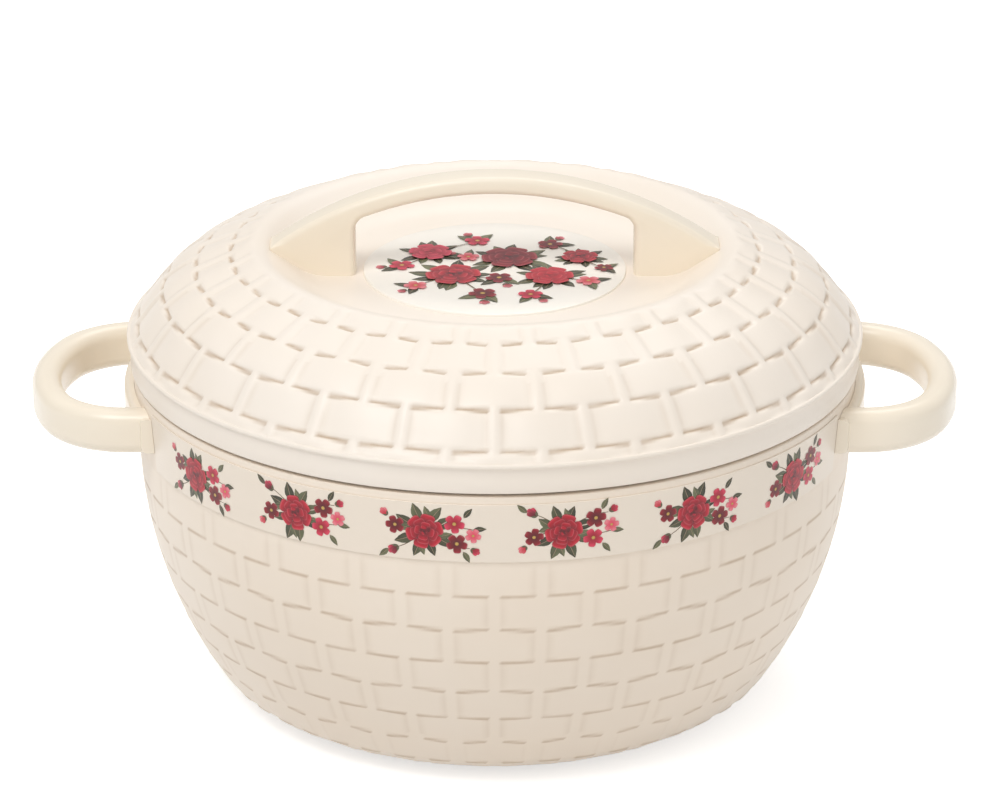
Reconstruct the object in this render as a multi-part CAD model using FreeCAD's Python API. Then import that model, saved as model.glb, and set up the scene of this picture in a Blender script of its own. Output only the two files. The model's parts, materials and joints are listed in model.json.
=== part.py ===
"""Insulated chapati casserole: a double-walled round body, a lift-off lid and three handles.

Millimetres, +Z up. The origin is the middle of the base, on the table, and the side handles lie on X.
"""

import FreeCAD, Part

import math
import os

V = FreeCAD.Vector
UP = V(0, 0, 1)

# How far a cutter runs past the face that it opens
cut_past = 1.0

# Body: outer wall, foot ring and base
body_top_radius = 123.4
body_wall = 2.4
band_bottom_height = 92.0
band_height = 24.3
band_lean = 1.6
belly_arc_radius = 150.0
base_corner_radius = 24.0
foot_height = 2.0
foot_ring_width = 6.0
foot_setback = 6.1
body_top_height = band_bottom_height + band_height
band_bottom_radius = body_top_radius - band_lean
band_slope = band_lean / band_height
belly_centre_radius = band_bottom_radius - belly_arc_radius
base_corner_height = foot_height + base_corner_radius
belly_drop = band_bottom_height - base_corner_height
base_flat_radius = belly_centre_radius + math.sqrt((belly_arc_radius - base_corner_radius) ** 2 - belly_drop ** 2)
foot_radius = base_flat_radius - foot_setback

# Ring that closes the double wall
ring_wall = 2.0
ring_lip_depth = 5.0
ring_skirt_depth = 5.5
ring_ledge = 1.0
ring_mouth_round = 0.7
ring_rise = 8.2
ring_setback = 3.8
ring_seat_width = 17.6
ring_top_height = body_top_height + ring_rise
ring_outer_radius = body_top_radius - ring_setback
ring_mouth_radius = ring_outer_radius - ring_seat_width

# Food bowl pressed from sheet steel
bowl_wall = 0.6
bowl_corner_radius = 28.0
bowl_floor_height = 14.0
bowl_flange_width = 6.0
bowl_neck_margin = 2.0
bowl_mouth_radius = ring_mouth_radius + ring_wall
bowl_side_lean = 7.0
bowl_floor_radius = bowl_mouth_radius - bowl_side_lean

# Lid: skirt, lip, dome, crest and well
parting_gap = 1.2
lid_wall = 2.2
lid_lip_thickness = 1.6
lid_lip_round = 0.6
lid_skirt_overhang = 0.6
lid_lip_overhang = 1.0
lid_lip_rise = 2.5
dome_shoulder_inset = 13.5
dome_shoulder_rise = 19.0
dome_shoulder_blend = 45.0
crest_inset = 43.5
crest_rise = 32.2
crest_blend = 8.0
well_inset = 18.5
well_rise = 20.0
well_blend = 18.0
lid_skirt_radius = body_top_radius + lid_skirt_overhang
lid_lip_radius = lid_skirt_radius + lid_lip_overhang
lid_lip_height = ring_top_height + lid_lip_rise
dome_shoulder_radius = lid_skirt_radius - dome_shoulder_inset
dome_shoulder_height = lid_lip_height + dome_shoulder_rise
crest_radius = lid_skirt_radius - crest_inset
crest_height = lid_lip_height + crest_rise
well_floor_radius = crest_radius - well_inset
well_floor_height = lid_lip_height + well_rise

# Rows of the woven pattern, as distances along the walls
weave_groove_radius = 1.1
weave_groove_depth = 0.5
body_first_row = 11.2
body_row_pitch = 12.7
body_row_count = 7
lid_row_ends = (4.0, 18.0, 32.0, 45.0)

# Inner cover of the lid
cover_wall = 1.8
cover_skirt_depth = 6.0
cover_shoulder_rise = 4.0
cover_shoulder_height = ring_top_height + cover_shoulder_rise
cover_crown_rise = 5.5
mouth_clearance = 1.0

# Arch handle across the well
arch_rise = 22.5
arch_thickness = 6.0
arch_middle_extra = 1.0
arch_width = 12.0
arch_end_inset = 2.5
arch_web_length = 31.0
arch_sag = 26.5
arch_top_height = crest_height + arch_rise
arch_half_length = crest_radius - arch_end_inset
arch_window_half = arch_half_length - arch_web_length
arch_window_corner = 5.0
arch_edge_round = 2.2
arch_top_radius = (arch_half_length ** 2 + arch_sag ** 2) / (2 * arch_sag)
arch_underside_radius = arch_top_radius - arch_thickness - arch_middle_extra

# Side handles
strap_thickness = 10.0
strap_height = 15.0
strap_edge_round = 4.2
strap_rise = 12.8
strap_overhang = 29.6
strap_half_span = 40.0
strap_middle_height = band_bottom_height + strap_rise
strap_reach = body_top_radius + strap_overhang
strap_root_depth = 24.7
strap_corner_radius = 27.0
strap_bow_radius = 60.0
strap_channel_width = 4.6
strap_channel_depth = 10.0
seat_plate_thickness = 3.0
seat_plate_height = 12.0
seat_plate_half_width = 46.0
seat_plate_round = 1.8

# Printed films and the disc in the well
label_thickness = 0.4
label_bottom_margin = 1.2
label_top_margin = 2.6
label_height = band_height - label_bottom_margin - label_top_margin
label_half_angle = 67.0
disc_clearance = 2.5
disc_radius = arch_window_half - disc_clearance
disc_thickness = 0.8
disc_edge_round = 0.3

# Filling holes and their plugs
fill_hole_radius = 8.0
plug_cap_radius = 11.0
plug_cap_thickness = 1.2
plug_stem_length = 5.5
plug_stem_wall = 1.2

# Fasteners
screw_radius = 1.75
screw_length = 15.0
screw_head_radius = 3.6
screw_head_height = 2.2
screw_head_round = 1.0
screw_boss_margin = 1.6
lid_screw_setback = 7.0
lid_screw_offset = arch_window_half + lid_screw_setback

# Clearances between neighbours
seat_gap = 0.3
snug_gap = 0.1
foam_gap = 0.3


def at(radius, height):
    """Point of a turned outline, in the XZ plane."""
    return V(radius, 0, height)


def closed_wire(edges):
    """Wire through edges, closed back to its start by a straight run."""
    first = edges[0].valueAt(edges[0].FirstParameter)
    last = edges[-1].valueAt(edges[-1].LastParameter)
    if first.distanceToPoint(last) > 1e-6:
        edges = edges + [Part.makeLine(last, first)]
    return Part.Wire(edges)


def turned(edges):
    """Solid of revolution about Z from the edges of a half outline."""
    return Part.Face(closed_wire(edges)).revolve(V(0, 0, 0), UP, 360)


def polyline(points):
    """Straight edges through points."""
    return [Part.makeLine(a, b) for a, b in zip(points, points[1:])]


def rounded_outline(corners):
    """Straight runs through corners given as (radius, height, blend radius), with tangent arcs."""
    edges = []
    cursor = at(corners[0][0], corners[0][1])
    for before, here, after in zip(corners, corners[1:], corners[2:]):
        corner = at(here[0], here[1])
        back = (at(before[0], before[1]) - corner).normalize()
        ahead = (at(after[0], after[1]) - corner).normalize()
        half_angle = back.getAngle(ahead) / 2
        if here[2] <= 0:
            edges.append(Part.makeLine(cursor, corner))
            cursor = corner
            continue
        reach = here[2] / math.tan(half_angle)
        start = corner + back * reach
        end = corner + ahead * reach
        centre = corner + (back + ahead).normalize() * (here[2] / math.sin(half_angle))
        middle = centre + (corner - centre).normalize() * here[2]
        edges.append(Part.makeLine(cursor, start))
        edges.append(Part.Arc(start, middle, end).toShape())
        cursor = end
    edges.append(Part.makeLine(cursor, at(corners[-1][0], corners[-1][1])))
    return edges


def inset_corners(corners, inset):
    """Corners moved to the right of their direction of travel by inset, with matching blends."""
    normals = []
    for a, b in zip(corners, corners[1:]):
        run = (at(b[0], b[1]) - at(a[0], a[1])).normalize()
        normals.append(V(run.z, 0, -run.x))
    moved = []
    for i, (radius, height, blend) in enumerate(corners):
        n1 = normals[max(i - 1, 0)]
        n2 = normals[min(i, len(normals) - 1)]
        shift = (n1 + n2) * (inset / (1 + n1.dot(n2)))
        turn = n1.x * n2.z - n1.z * n2.x
        if blend > 0:
            blend = blend + inset if turn > 0 else blend - inset
        moved.append((radius + shift.x, height + shift.z, blend))
    return moved


def body_wall_edges(inset, top_height):
    """Body wall outline from the base plane up to top_height, moved inwards by inset."""
    belly_centre = at(belly_centre_radius, band_bottom_height)
    corner_centre = at(base_flat_radius, base_corner_height)
    along = (corner_centre - belly_centre).normalize()
    tangent_point = corner_centre + along * (base_corner_radius - inset)
    lowest = corner_centre - UP * (base_corner_radius - inset)
    between = (along - UP).normalize()
    corner_middle = corner_centre + between * (base_corner_radius - inset)
    belly_top = at(band_bottom_radius - inset, band_bottom_height)
    belly_between = (along + V(1, 0, 0)).normalize()
    belly_middle = belly_centre + belly_between * (belly_arc_radius - inset)
    top = at(belly_top.x + band_slope * (top_height - band_bottom_height), top_height)
    return [
        Part.makeLine(at(0, foot_height + inset), lowest),
        Part.Arc(lowest, corner_middle, tangent_point).toShape(),
        Part.Arc(tangent_point, belly_middle, belly_top).toShape(),
        Part.makeLine(belly_top, top),
    ]


def body_solid(inset, top_height):
    """Solid of the body's outer form, moved inwards by inset and cut level at top_height."""
    edges = body_wall_edges(inset, top_height)
    top = edges[-1].Vertexes[-1].Point
    edges.append(Part.makeLine(top, at(0, top_height)))
    return turned(edges)


def plug_hole(top_height, wall):
    """Filling hole down through a wall whose outside faces up at top_height."""
    stem = Part.makeCylinder(fill_hole_radius, wall + 2 * cut_past, at(0, top_height - wall - cut_past))
    cap = Part.makeCylinder(plug_cap_radius + snug_gap, plug_cap_thickness, at(0, top_height - plug_cap_thickness))
    return stem.fuse(cap)


def make_plug(top_height):
    """Filling-hole plug with its cap flush at top_height and a hollow stem below it."""
    cap = Part.makeCylinder(plug_cap_radius, plug_cap_thickness, at(0, top_height - plug_cap_thickness))
    stem_height = top_height - plug_cap_thickness - plug_stem_length
    stem = Part.makeCylinder(fill_hole_radius - snug_gap, plug_stem_length, at(0, stem_height))
    bore = Part.makeCylinder(fill_hole_radius - snug_gap - plug_stem_wall, plug_stem_length, at(0, stem_height))
    return cap.fuse(stem.cut(bore)).removeSplitter()


def screw(seat, direction):
    """Pan-head screw whose head sits at seat and whose shank runs along direction."""
    shank = Part.makeCylinder(screw_radius, screw_length, seat, direction)
    head_start = seat - direction * screw_head_height
    head = Part.makeCylinder(screw_head_radius, screw_head_height, head_start, direction)
    head = head.makeFillet(screw_head_round, [head.Edges[2]])
    return head.fuse(shank)


def screw_space(seat, direction):
    """Room that the foam leaves round a screw's head and the boss that it sits on."""
    start = seat - direction * (screw_head_height + foam_gap)
    room_radius = screw_head_radius + screw_boss_margin + foam_gap
    return Part.makeCylinder(room_radius, screw_length, start, direction)


def handle_screw_seats():
    """Where the four side-handle screws sit, as (seat, direction) against the inside of the wall."""
    outer = band_bottom_radius + band_slope * (strap_middle_height - band_bottom_height)
    inner = outer - body_wall
    deepest = strap_half_span + screw_head_radius + screw_boss_margin
    seat_x = math.sqrt(inner ** 2 - deepest ** 2)
    return [
        (V(side * seat_x, end * strap_half_span, strap_middle_height), V(side, 0, 0))
        for side in (-1, 1)
        for end in (-1, 1)
    ]


def lid_screw_seats():
    """Where the two arch screws sit, as (seat, direction) under the well floor."""
    return [(V(side * lid_screw_offset, 0, well_floor_height - lid_wall), UP) for side in (-1, 1)]


def row_grooves(edges, distances):
    """Rings that cut the lines between the woven rows, at distances along edges of an outline."""
    rings = []
    for distance in distances:
        for edge in edges:
            if distance <= edge.Length:
                break
            distance -= edge.Length
        place = edge.getParameterByLength(distance)
        along = edge.tangentAt(place)
        centre = edge.valueAt(place) + V(along.z, 0, -along.x) * (weave_groove_radius - weave_groove_depth)
        rings.append(Part.makeTorus(centre.x, weave_groove_radius, at(0, centre.z)))
    return Part.makeCompound(rings)


def body_row_grooves():
    """Row grooves of the belly, counted down from the smooth band."""
    rising = body_wall_edges(0, body_top_height)[1:3]
    whole = sum(edge.Length for edge in rising)
    return row_grooves(rising, [whole - body_first_row - body_row_pitch * row for row in range(body_row_count)])


def make_outer_shell():
    """Outer bowl with its foot ring, filling hole and screw holes."""
    skin = body_solid(0, body_top_height)
    ring_inner = foot_radius - foot_ring_width
    ring_corners = [
        (ring_inner, foot_height + body_wall / 2, 0),
        (ring_inner, 0, foot_height / 2),
        (foot_radius, 0, foot_height / 2),
        (foot_radius, foot_height + body_wall / 2, 0),
    ]
    skin = skin.fuse(turned(rounded_outline(ring_corners)))
    skin = skin.cut(body_row_grooves())
    shell = skin.cut(body_solid(body_wall, body_top_height + cut_past))
    hole = Part.makeCylinder(fill_hole_radius, foot_height + body_wall + cut_past, at(0, 0))
    counterbore = Part.makeCylinder(plug_cap_radius + snug_gap, foot_height / 2 + plug_cap_thickness, at(0, 0))
    shell = shell.cut(hole.fuse(counterbore))
    for seat, direction in handle_screw_seats():
        boss = Part.makeCylinder(screw_head_radius + screw_boss_margin, screw_length, seat, direction)
        shell = shell.fuse(boss.common(skin))
    for seat, direction in handle_screw_seats():
        shell = shell.cut(Part.makeCylinder(screw_radius + snug_gap, screw_length, seat, direction))
    return shell.removeSplitter()


def bowl_corners():
    """Outside of the steel bowl from its floor's middle to its flange's edge."""
    under_ring = ring_top_height - ring_wall
    neck_height = ring_top_height - ring_lip_depth - bowl_neck_margin
    side_radius = bowl_mouth_radius + bowl_wall
    return [
        (0, bowl_floor_height, 0),
        (bowl_floor_radius, bowl_floor_height, bowl_corner_radius),
        (side_radius, neck_height, 0),
        (side_radius, under_ring - bowl_wall, 0),
        (side_radius + bowl_flange_width, under_ring - bowl_wall, 0),
    ]


def make_inner_bowl():
    """Pressed steel bowl with a flat flange that the ring clamps."""
    outside = bowl_corners()
    under_ring = ring_top_height - ring_wall
    floor_top = bowl_floor_height + bowl_wall
    inside = [
        (bowl_mouth_radius + bowl_wall + bowl_flange_width, under_ring, 0),
        (bowl_mouth_radius, under_ring, 0),
        (bowl_mouth_radius, outside[2][1], 0),
        (bowl_floor_radius - bowl_wall, floor_top, bowl_corner_radius - bowl_wall),
        (0, floor_top, 0),
    ]
    edges = rounded_outline(outside)
    tail = rounded_outline(inside)
    edges.append(Part.makeLine(at(*outside[-1][:2]), at(*inside[0][:2])))
    return turned(edges + tail)


def make_rim_ring():
    """Ring with a seat for the lid, a lip over the bowl's edge and a skirt inside the outer shell."""
    under_seat = ring_top_height - ring_wall
    lip_outer = bowl_mouth_radius - snug_gap
    skirt_bottom = body_top_height - ring_skirt_depth
    skirt_outer = body_top_radius - body_wall - band_slope * ring_skirt_depth - snug_gap
    upstand_inner = ring_outer_radius - ring_wall
    step_height = body_top_height - ring_ledge
    outline = [
        at(ring_mouth_radius, ring_top_height),
        at(ring_outer_radius, ring_top_height),
        at(ring_outer_radius, step_height),
        at(skirt_outer, step_height),
        at(skirt_outer, skirt_bottom),
        at(skirt_outer - ring_wall, skirt_bottom),
        at(skirt_outer - ring_wall, step_height - ring_wall),
        at(upstand_inner, step_height - ring_wall),
        at(upstand_inner, under_seat),
        at(lip_outer, under_seat),
        at(lip_outer, ring_top_height - ring_lip_depth),
        at(ring_mouth_radius, ring_top_height - ring_lip_depth),
        at(ring_mouth_radius, ring_top_height),
    ]
    ring = turned(polyline(outline))
    mouth_edges = [
        edge
        for edge in ring.Edges
        if abs(edge.BoundBox.ZMin - ring_top_height) < 1e-4 and abs(edge.BoundBox.ZMax - ring_top_height) < 1e-4
        and edge.Curve.TypeId == "Part::GeomCircle"
    ]
    return ring.makeFillet(ring_mouth_round, mouth_edges)


def make_body_insulation():
    """Foam that fills the space between bowl, shell and ring."""
    skirt_bottom = body_top_height - ring_skirt_depth
    lower = body_solid(body_wall + foam_gap, skirt_bottom - foam_gap)
    upstand_inner = ring_outer_radius - 2 * ring_wall
    neck_top = ring_top_height - ring_wall - bowl_wall - foam_gap
    neck = Part.makeCylinder(upstand_inner - foam_gap, neck_top - band_bottom_height, at(0, band_bottom_height))
    block = lower.fuse(neck)
    floor, corner, neck_foot = bowl_corners()[:3]
    bowl_space = [
        (0, floor[1] - foam_gap, 0),
        (corner[0] + foam_gap, corner[1] - foam_gap, corner[2]),
        (neck_foot[0] + foam_gap, neck_foot[1], 0),
        (neck_foot[0] + foam_gap, ring_top_height, 0),
        (0, ring_top_height, 0),
    ]
    block = block.cut(turned(rounded_outline(bowl_space)))
    room_height = plug_cap_thickness + plug_stem_length + foam_gap
    plug_room = Part.makeCylinder(fill_hole_radius + foam_gap, room_height, at(0, foot_height))
    block = block.cut(plug_room)
    for seat, direction in handle_screw_seats():
        block = block.cut(screw_space(seat, direction))
    return block


def make_base_plug():
    """Filling-hole plug pressed up into the base from below."""
    plug = make_plug(0)
    plug = plug.mirror(V(0, 0, 0), UP)
    plug.translate(UP * (foot_height / 2))
    return plug


def strap_path(end_x):
    """Centreline of the loop: two straight legs, two corner arcs and a shallow bow between them."""
    corner_y = strap_half_span - strap_corner_radius
    bow_centre_x = strap_reach - strap_bow_radius
    gap = strap_bow_radius - strap_corner_radius
    corner_x = bow_centre_x + math.sqrt(gap ** 2 - corner_y ** 2)
    edges = []
    tangents = {}
    for side in (-1, 1):
        centre = V(corner_x, side * corner_y, 0)
        bow_centre = V(bow_centre_x, 0, 0)
        outward = (centre - bow_centre).normalize()
        start = centre + V(0, side, 0) * strap_corner_radius
        end = centre + outward * strap_corner_radius
        middle = centre + (outward + V(0, side, 0)).normalize() * strap_corner_radius
        tangents[side] = (start, middle, end)
    low = tangents[-1]
    high = tangents[1]
    edges.append(Part.makeLine(V(end_x, -strap_half_span, 0), low[0]))
    edges.append(Part.Arc(low[0], low[1], low[2]).toShape())
    edges.append(Part.Arc(low[2], V(strap_reach, 0, 0), high[2]).toShape())
    edges.append(Part.Arc(high[2], high[1], high[0]).toShape())
    edges.append(Part.makeLine(high[0], V(end_x, strap_half_span, 0)))
    return Part.Wire(edges)


def strap_section(start_x, width, height, bottom, corner):
    """Closed rounded section across the first leg of the loop."""
    box = Part.makeBox(1, width, height, V(start_x, -strap_half_span - width / 2, bottom))
    if corner > 0:
        long_edges = [edge for edge in box.Edges if abs(edge.BoundBox.XLength - 1) < 1e-6]
        box = box.makeFillet(corner, long_edges)
    ends = [side for side in box.Faces if abs(side.BoundBox.XMax - start_x) < 1e-6]
    return ends[0].OuterWire


def make_handle(side):
    """Loop handle moulded in one piece with the curved plate that seats on the body."""
    start_x = body_top_radius - strap_root_depth
    path = strap_path(start_x)
    path.translate(UP * strap_middle_height)
    bottom = strap_middle_height - strap_height / 2
    section = strap_section(start_x, strap_thickness, strap_height, bottom, strap_edge_round)
    strap = path.makePipeShell([section], True, True)
    channel_height = strap_channel_depth + cut_past
    channel_section = strap_section(start_x, strap_channel_width, channel_height, bottom - cut_past, 0)
    channel_start = abs(handle_screw_seats()[0][0].x) + screw_length + strap_channel_width / 2
    room_half = strap_half_span + strap_thickness
    room_corner = V(channel_start, -room_half, bottom - cut_past)
    channel_room = Part.makeBox(strap_reach, 2 * room_half, strap_height, room_corner)
    channel = path.makePipeShell([channel_section], True, True).common(channel_room)
    plate_bottom = strap_middle_height - seat_plate_height / 2
    plate = Part.makeCylinder(body_top_radius + seat_plate_thickness, seat_plate_height, at(0, plate_bottom))
    plate_rims = [edge for edge in plate.Edges if edge.Curve.TypeId == "Part::GeomCircle"]
    plate = plate.makeFillet(seat_plate_round, plate_rims)
    sector = Part.makeBox(
        body_top_radius * 2,
        seat_plate_half_width * 2,
        seat_plate_height,
        V(body_top_radius / 2, -seat_plate_half_width, plate_bottom),
    )
    plate = plate.common(sector)
    handle = strap.fuse(plate).cut(channel)
    handle = handle.cut(body_solid(-snug_gap, body_top_height + cut_past))
    for seat, direction in handle_screw_seats():
        handle = handle.cut(Part.makeCylinder(screw_radius + snug_gap / 2, screw_length + cut_past, seat, direction))
    handle = handle.removeSplitter()
    if side < 0:
        handle = handle.mirror(V(0, 0, 0), V(1, 0, 0))
    return handle


def make_label(facing):
    """Printed film bent round the smooth band between the handles."""
    bottom = band_bottom_height + label_bottom_margin
    inner_low = band_bottom_radius + band_slope * label_bottom_margin + snug_gap
    inner_high = inner_low + band_slope * label_height
    outline = [
        at(inner_low, bottom),
        at(inner_low + label_thickness, bottom),
        at(inner_high + label_thickness, bottom + label_height),
        at(inner_high, bottom + label_height),
        at(inner_low, bottom),
    ]
    face = Part.Face(Part.Wire(polyline(outline)))
    film = face.revolve(V(0, 0, 0), UP, 2 * label_half_angle)
    film.rotate(V(0, 0, 0), UP, facing - label_half_angle)
    return film


def lid_corners():
    """Outside of the lid from its skirt's lower edge to the middle of the well."""
    lip_top = lid_lip_height + lid_lip_thickness / 2
    return [
        (lid_skirt_radius, body_top_height + parting_gap, 0),
        (lid_skirt_radius, lip_top, 0),
        (dome_shoulder_radius, dome_shoulder_height, dome_shoulder_blend),
        (crest_radius, crest_height, crest_blend),
        (well_floor_radius, well_floor_height, well_blend),
        (0, well_floor_height, 0),
    ]


def lid_form(inset, bottom_height):
    """Solid under the lid's outside, moved inwards by inset and cut level at bottom_height."""
    corners = inset_corners(lid_corners(), -inset)
    corners[0] = (corners[0][0], bottom_height, 0)
    edges = rounded_outline(corners)
    edges.append(Part.makeLine(at(0, corners[-1][1]), at(0, bottom_height)))
    return turned(edges)


def make_lid_shell():
    """Outer lid moulding with its lip, skirt, dome and well."""
    bottom = body_top_height + parting_gap
    skin = lid_form(0, bottom)
    lip_low = lid_lip_height - lid_lip_thickness / 2
    lip_root = lid_skirt_radius - lid_wall / 2
    lip = [
        (lip_root, lip_low, 0),
        (lid_lip_radius, lip_low, lid_lip_round),
        (lid_lip_radius, lip_low + lid_lip_thickness, lid_lip_round),
        (lip_root, lip_low + lid_lip_thickness, 0),
    ]
    skin = skin.fuse(turned(rounded_outline(lip)))
    skin = skin.cut(row_grooves(rounded_outline(lid_corners())[1:], lid_row_ends))
    shell = skin.cut(lid_form(lid_wall, bottom - cut_past))
    shell = shell.cut(plug_hole(well_floor_height, lid_wall))
    for seat, direction in lid_screw_seats():
        start = seat - direction * cut_past
        hole = Part.makeCylinder(screw_radius + snug_gap, lid_wall + 2 * cut_past, start, direction)
        shell = shell.cut(hole)
    return shell.removeSplitter()


def cover_corners():
    """Underside of the inner cover from its outer edge to its middle."""
    seat = ring_top_height + seat_gap
    skirt_outer = ring_mouth_radius - mouth_clearance
    skirt_inner = skirt_outer - cover_wall
    return [
        (lid_skirt_radius - lid_wall - snug_gap, seat, 0),
        (skirt_outer, seat, 0),
        (skirt_outer, seat - cover_skirt_depth, 0),
        (skirt_inner, seat - cover_skirt_depth, 0),
        (skirt_inner, cover_shoulder_height, cover_wall),
        (0, cover_shoulder_height + cover_crown_rise, 0),
    ]


def make_lid_cover():
    """Inner cover: flat seat flange, locating skirt and a shallow crown over the food."""
    under = cover_corners()
    flange_top = under[0][1] + cover_wall
    skirt_outer = under[1][0]
    crown = under[-1][1]
    over = [
        (0, crown + cover_wall, 0),
        (skirt_outer, cover_shoulder_height + cover_wall, cover_wall),
        (skirt_outer, flange_top, 0),
        (under[0][0], flange_top, 0),
    ]
    edges = rounded_outline(under)
    edges.append(Part.makeLine(at(0, crown), at(0, crown + cover_wall)))
    return turned(edges + rounded_outline(over))


def make_lid_insulation():
    """Foam between the lid's shell and its inner cover."""
    under = cover_corners()
    flange_top = under[0][1] + cover_wall
    block = lid_form(lid_wall + foam_gap, flange_top + foam_gap)
    skirt_outer = under[1][0] + foam_gap
    shoulder = cover_shoulder_height + cover_wall + foam_gap
    cover_room = [
        (skirt_outer, flange_top, 0),
        (skirt_outer, shoulder, 0),
        (0, under[-1][1] + cover_wall + foam_gap, 0),
        (0, flange_top, 0),
    ]
    block = block.cut(turned(rounded_outline(cover_room)))
    stem_room = plug_stem_length + plug_cap_thickness
    plug_room = Part.makeCylinder(fill_hole_radius + foam_gap, stem_room, at(0, well_floor_height - stem_room - foam_gap))
    block = block.cut(plug_room)
    for seat, direction in lid_screw_seats():
        block = block.cut(screw_space(seat, direction))
    return block


def make_lid_disc():
    """Printed disc that lies on the well floor over the filling hole."""
    disc = Part.makeCylinder(disc_radius, disc_thickness, at(0, well_floor_height))
    top_edges = [e for e in disc.Edges if e.BoundBox.ZMin > well_floor_height + disc_thickness / 2]
    return disc.makeFillet(disc_edge_round, top_edges)


def make_lid_handle():
    """Arch over the well, with a web at each end that stands on the lid."""
    top_centre = V(0, 0, arch_top_height - arch_top_radius)
    end_height = top_centre.z + math.sqrt(arch_top_radius ** 2 - arch_half_length ** 2)
    under_height = arch_top_height - arch_thickness
    under_centre = V(0, 0, under_height - arch_underside_radius)
    jamb_height = under_centre.z + math.sqrt(arch_underside_radius ** 2 - arch_window_half ** 2)
    foot = well_floor_height - cut_past
    left_end = V(-arch_half_length, 0, end_height)
    right_end = V(arch_half_length, 0, end_height)
    left_jamb = V(-arch_window_half, 0, jamb_height)
    right_jamb = V(arch_window_half, 0, jamb_height)
    edges = [
        Part.Arc(left_end, V(0, 0, arch_top_height), right_end).toShape(),
        Part.makeLine(right_end, V(arch_half_length, 0, foot)),
        Part.makeLine(V(arch_half_length, 0, foot), V(arch_window_half, 0, foot)),
        Part.makeLine(V(arch_window_half, 0, foot), right_jamb),
        Part.Arc(right_jamb, V(0, 0, under_height), left_jamb).toShape(),
        Part.makeLine(left_jamb, V(-arch_window_half, 0, foot)),
        Part.makeLine(V(-arch_window_half, 0, foot), V(-arch_half_length, 0, foot)),
        Part.makeLine(V(-arch_half_length, 0, foot), left_end),
    ]
    face = Part.Face(Part.Wire(edges))
    arch = face.extrude(V(0, arch_width, 0))
    arch.translate(V(0, -arch_width / 2, 0))
    jambs = []
    for edge in arch.Edges:
        box = edge.BoundBox
        across = box.YLength > arch_width - 1e-6
        if across and abs(abs(box.XMin) - arch_window_half) < 1e-6 and box.ZMin > foot + cut_past:
            jambs.append(edge)
    arch = arch.makeFillet(arch_window_corner, jambs)
    long_edges = []
    for edge in arch.Edges:
        box = edge.BoundBox
        flat = box.YLength < 1e-6
        wide = box.XMax - box.XMin > 1e-3
        if flat and wide and box.ZMax > foot + cut_past and edge.Length > arch_window_corner:
            long_edges.append(edge)
    arch = arch.makeFillet(arch_edge_round, long_edges)
    arch = arch.cut(lid_form(-snug_gap / 2, foot - cut_past))
    arch = arch.cut(Part.makeCylinder(disc_radius + snug_gap, disc_thickness + cut_past, at(0, well_floor_height)))
    for seat, direction in lid_screw_seats():
        arch = arch.cut(Part.makeCylinder(screw_radius + snug_gap / 2, screw_length + cut_past, seat, direction))
    return arch.removeSplitter()


def screws(seats):
    """Screws at the given seats, as one group of separate solids."""
    return Part.makeCompound([screw(seat, direction) for seat, direction in seats])


def build():
    """Every piece of the casserole, by node name."""
    handle_seats = handle_screw_seats()
    return {
        "outer_shell": make_outer_shell(),
        "inner_bowl": make_inner_bowl(),
        "rim_ring": make_rim_ring(),
        "body_insulation": make_body_insulation(),
        "base_plug": make_base_plug(),
        "handle_left": make_handle(-1),
        "handle_right": make_handle(1),
        "handle_screws_left": screws([seat for seat in handle_seats if seat[1].x < 0]),
        "handle_screws_right": screws([seat for seat in handle_seats if seat[1].x > 0]),
        "label_front": make_label(-90),
        "label_back": make_label(90),
        "lid_shell": make_lid_shell(),
        "lid_cover": make_lid_cover(),
        "lid_insulation": make_lid_insulation(),
        "lid_plug": make_plug(well_floor_height),
        "lid_disc": make_lid_disc(),
        "lid_handle": make_lid_handle(),
        "lid_handle_screws": screws(lid_screw_seats()),
    }


os.makedirs("parts", exist_ok=True)
for name, shape in build().items():
    shape.exportStep("parts/" + name + ".step")
    box = shape.optimalBoundingBox()
    print(
        f"{name}: {len(shape.Solids)} solids, valid {shape.isValid()}, volume {shape.Volume / 1000:.2f} cm3,"
        f" z {box.ZMin:.2f} to {box.ZMax:.2f}, x {box.XMin:.2f} to {box.XMax:.2f}"
    )
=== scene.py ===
"""Insulated chapati casserole: finishes, woven relief, floral print, light and camera.

Sizes are in millimetres, as in the construction, and each mesh is turned into metres as it is made.
"""

from __future__ import annotations

import json
import logging
import math
import random
from collections.abc import Callable
from dataclasses import dataclass, field
from enum import Enum

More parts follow.
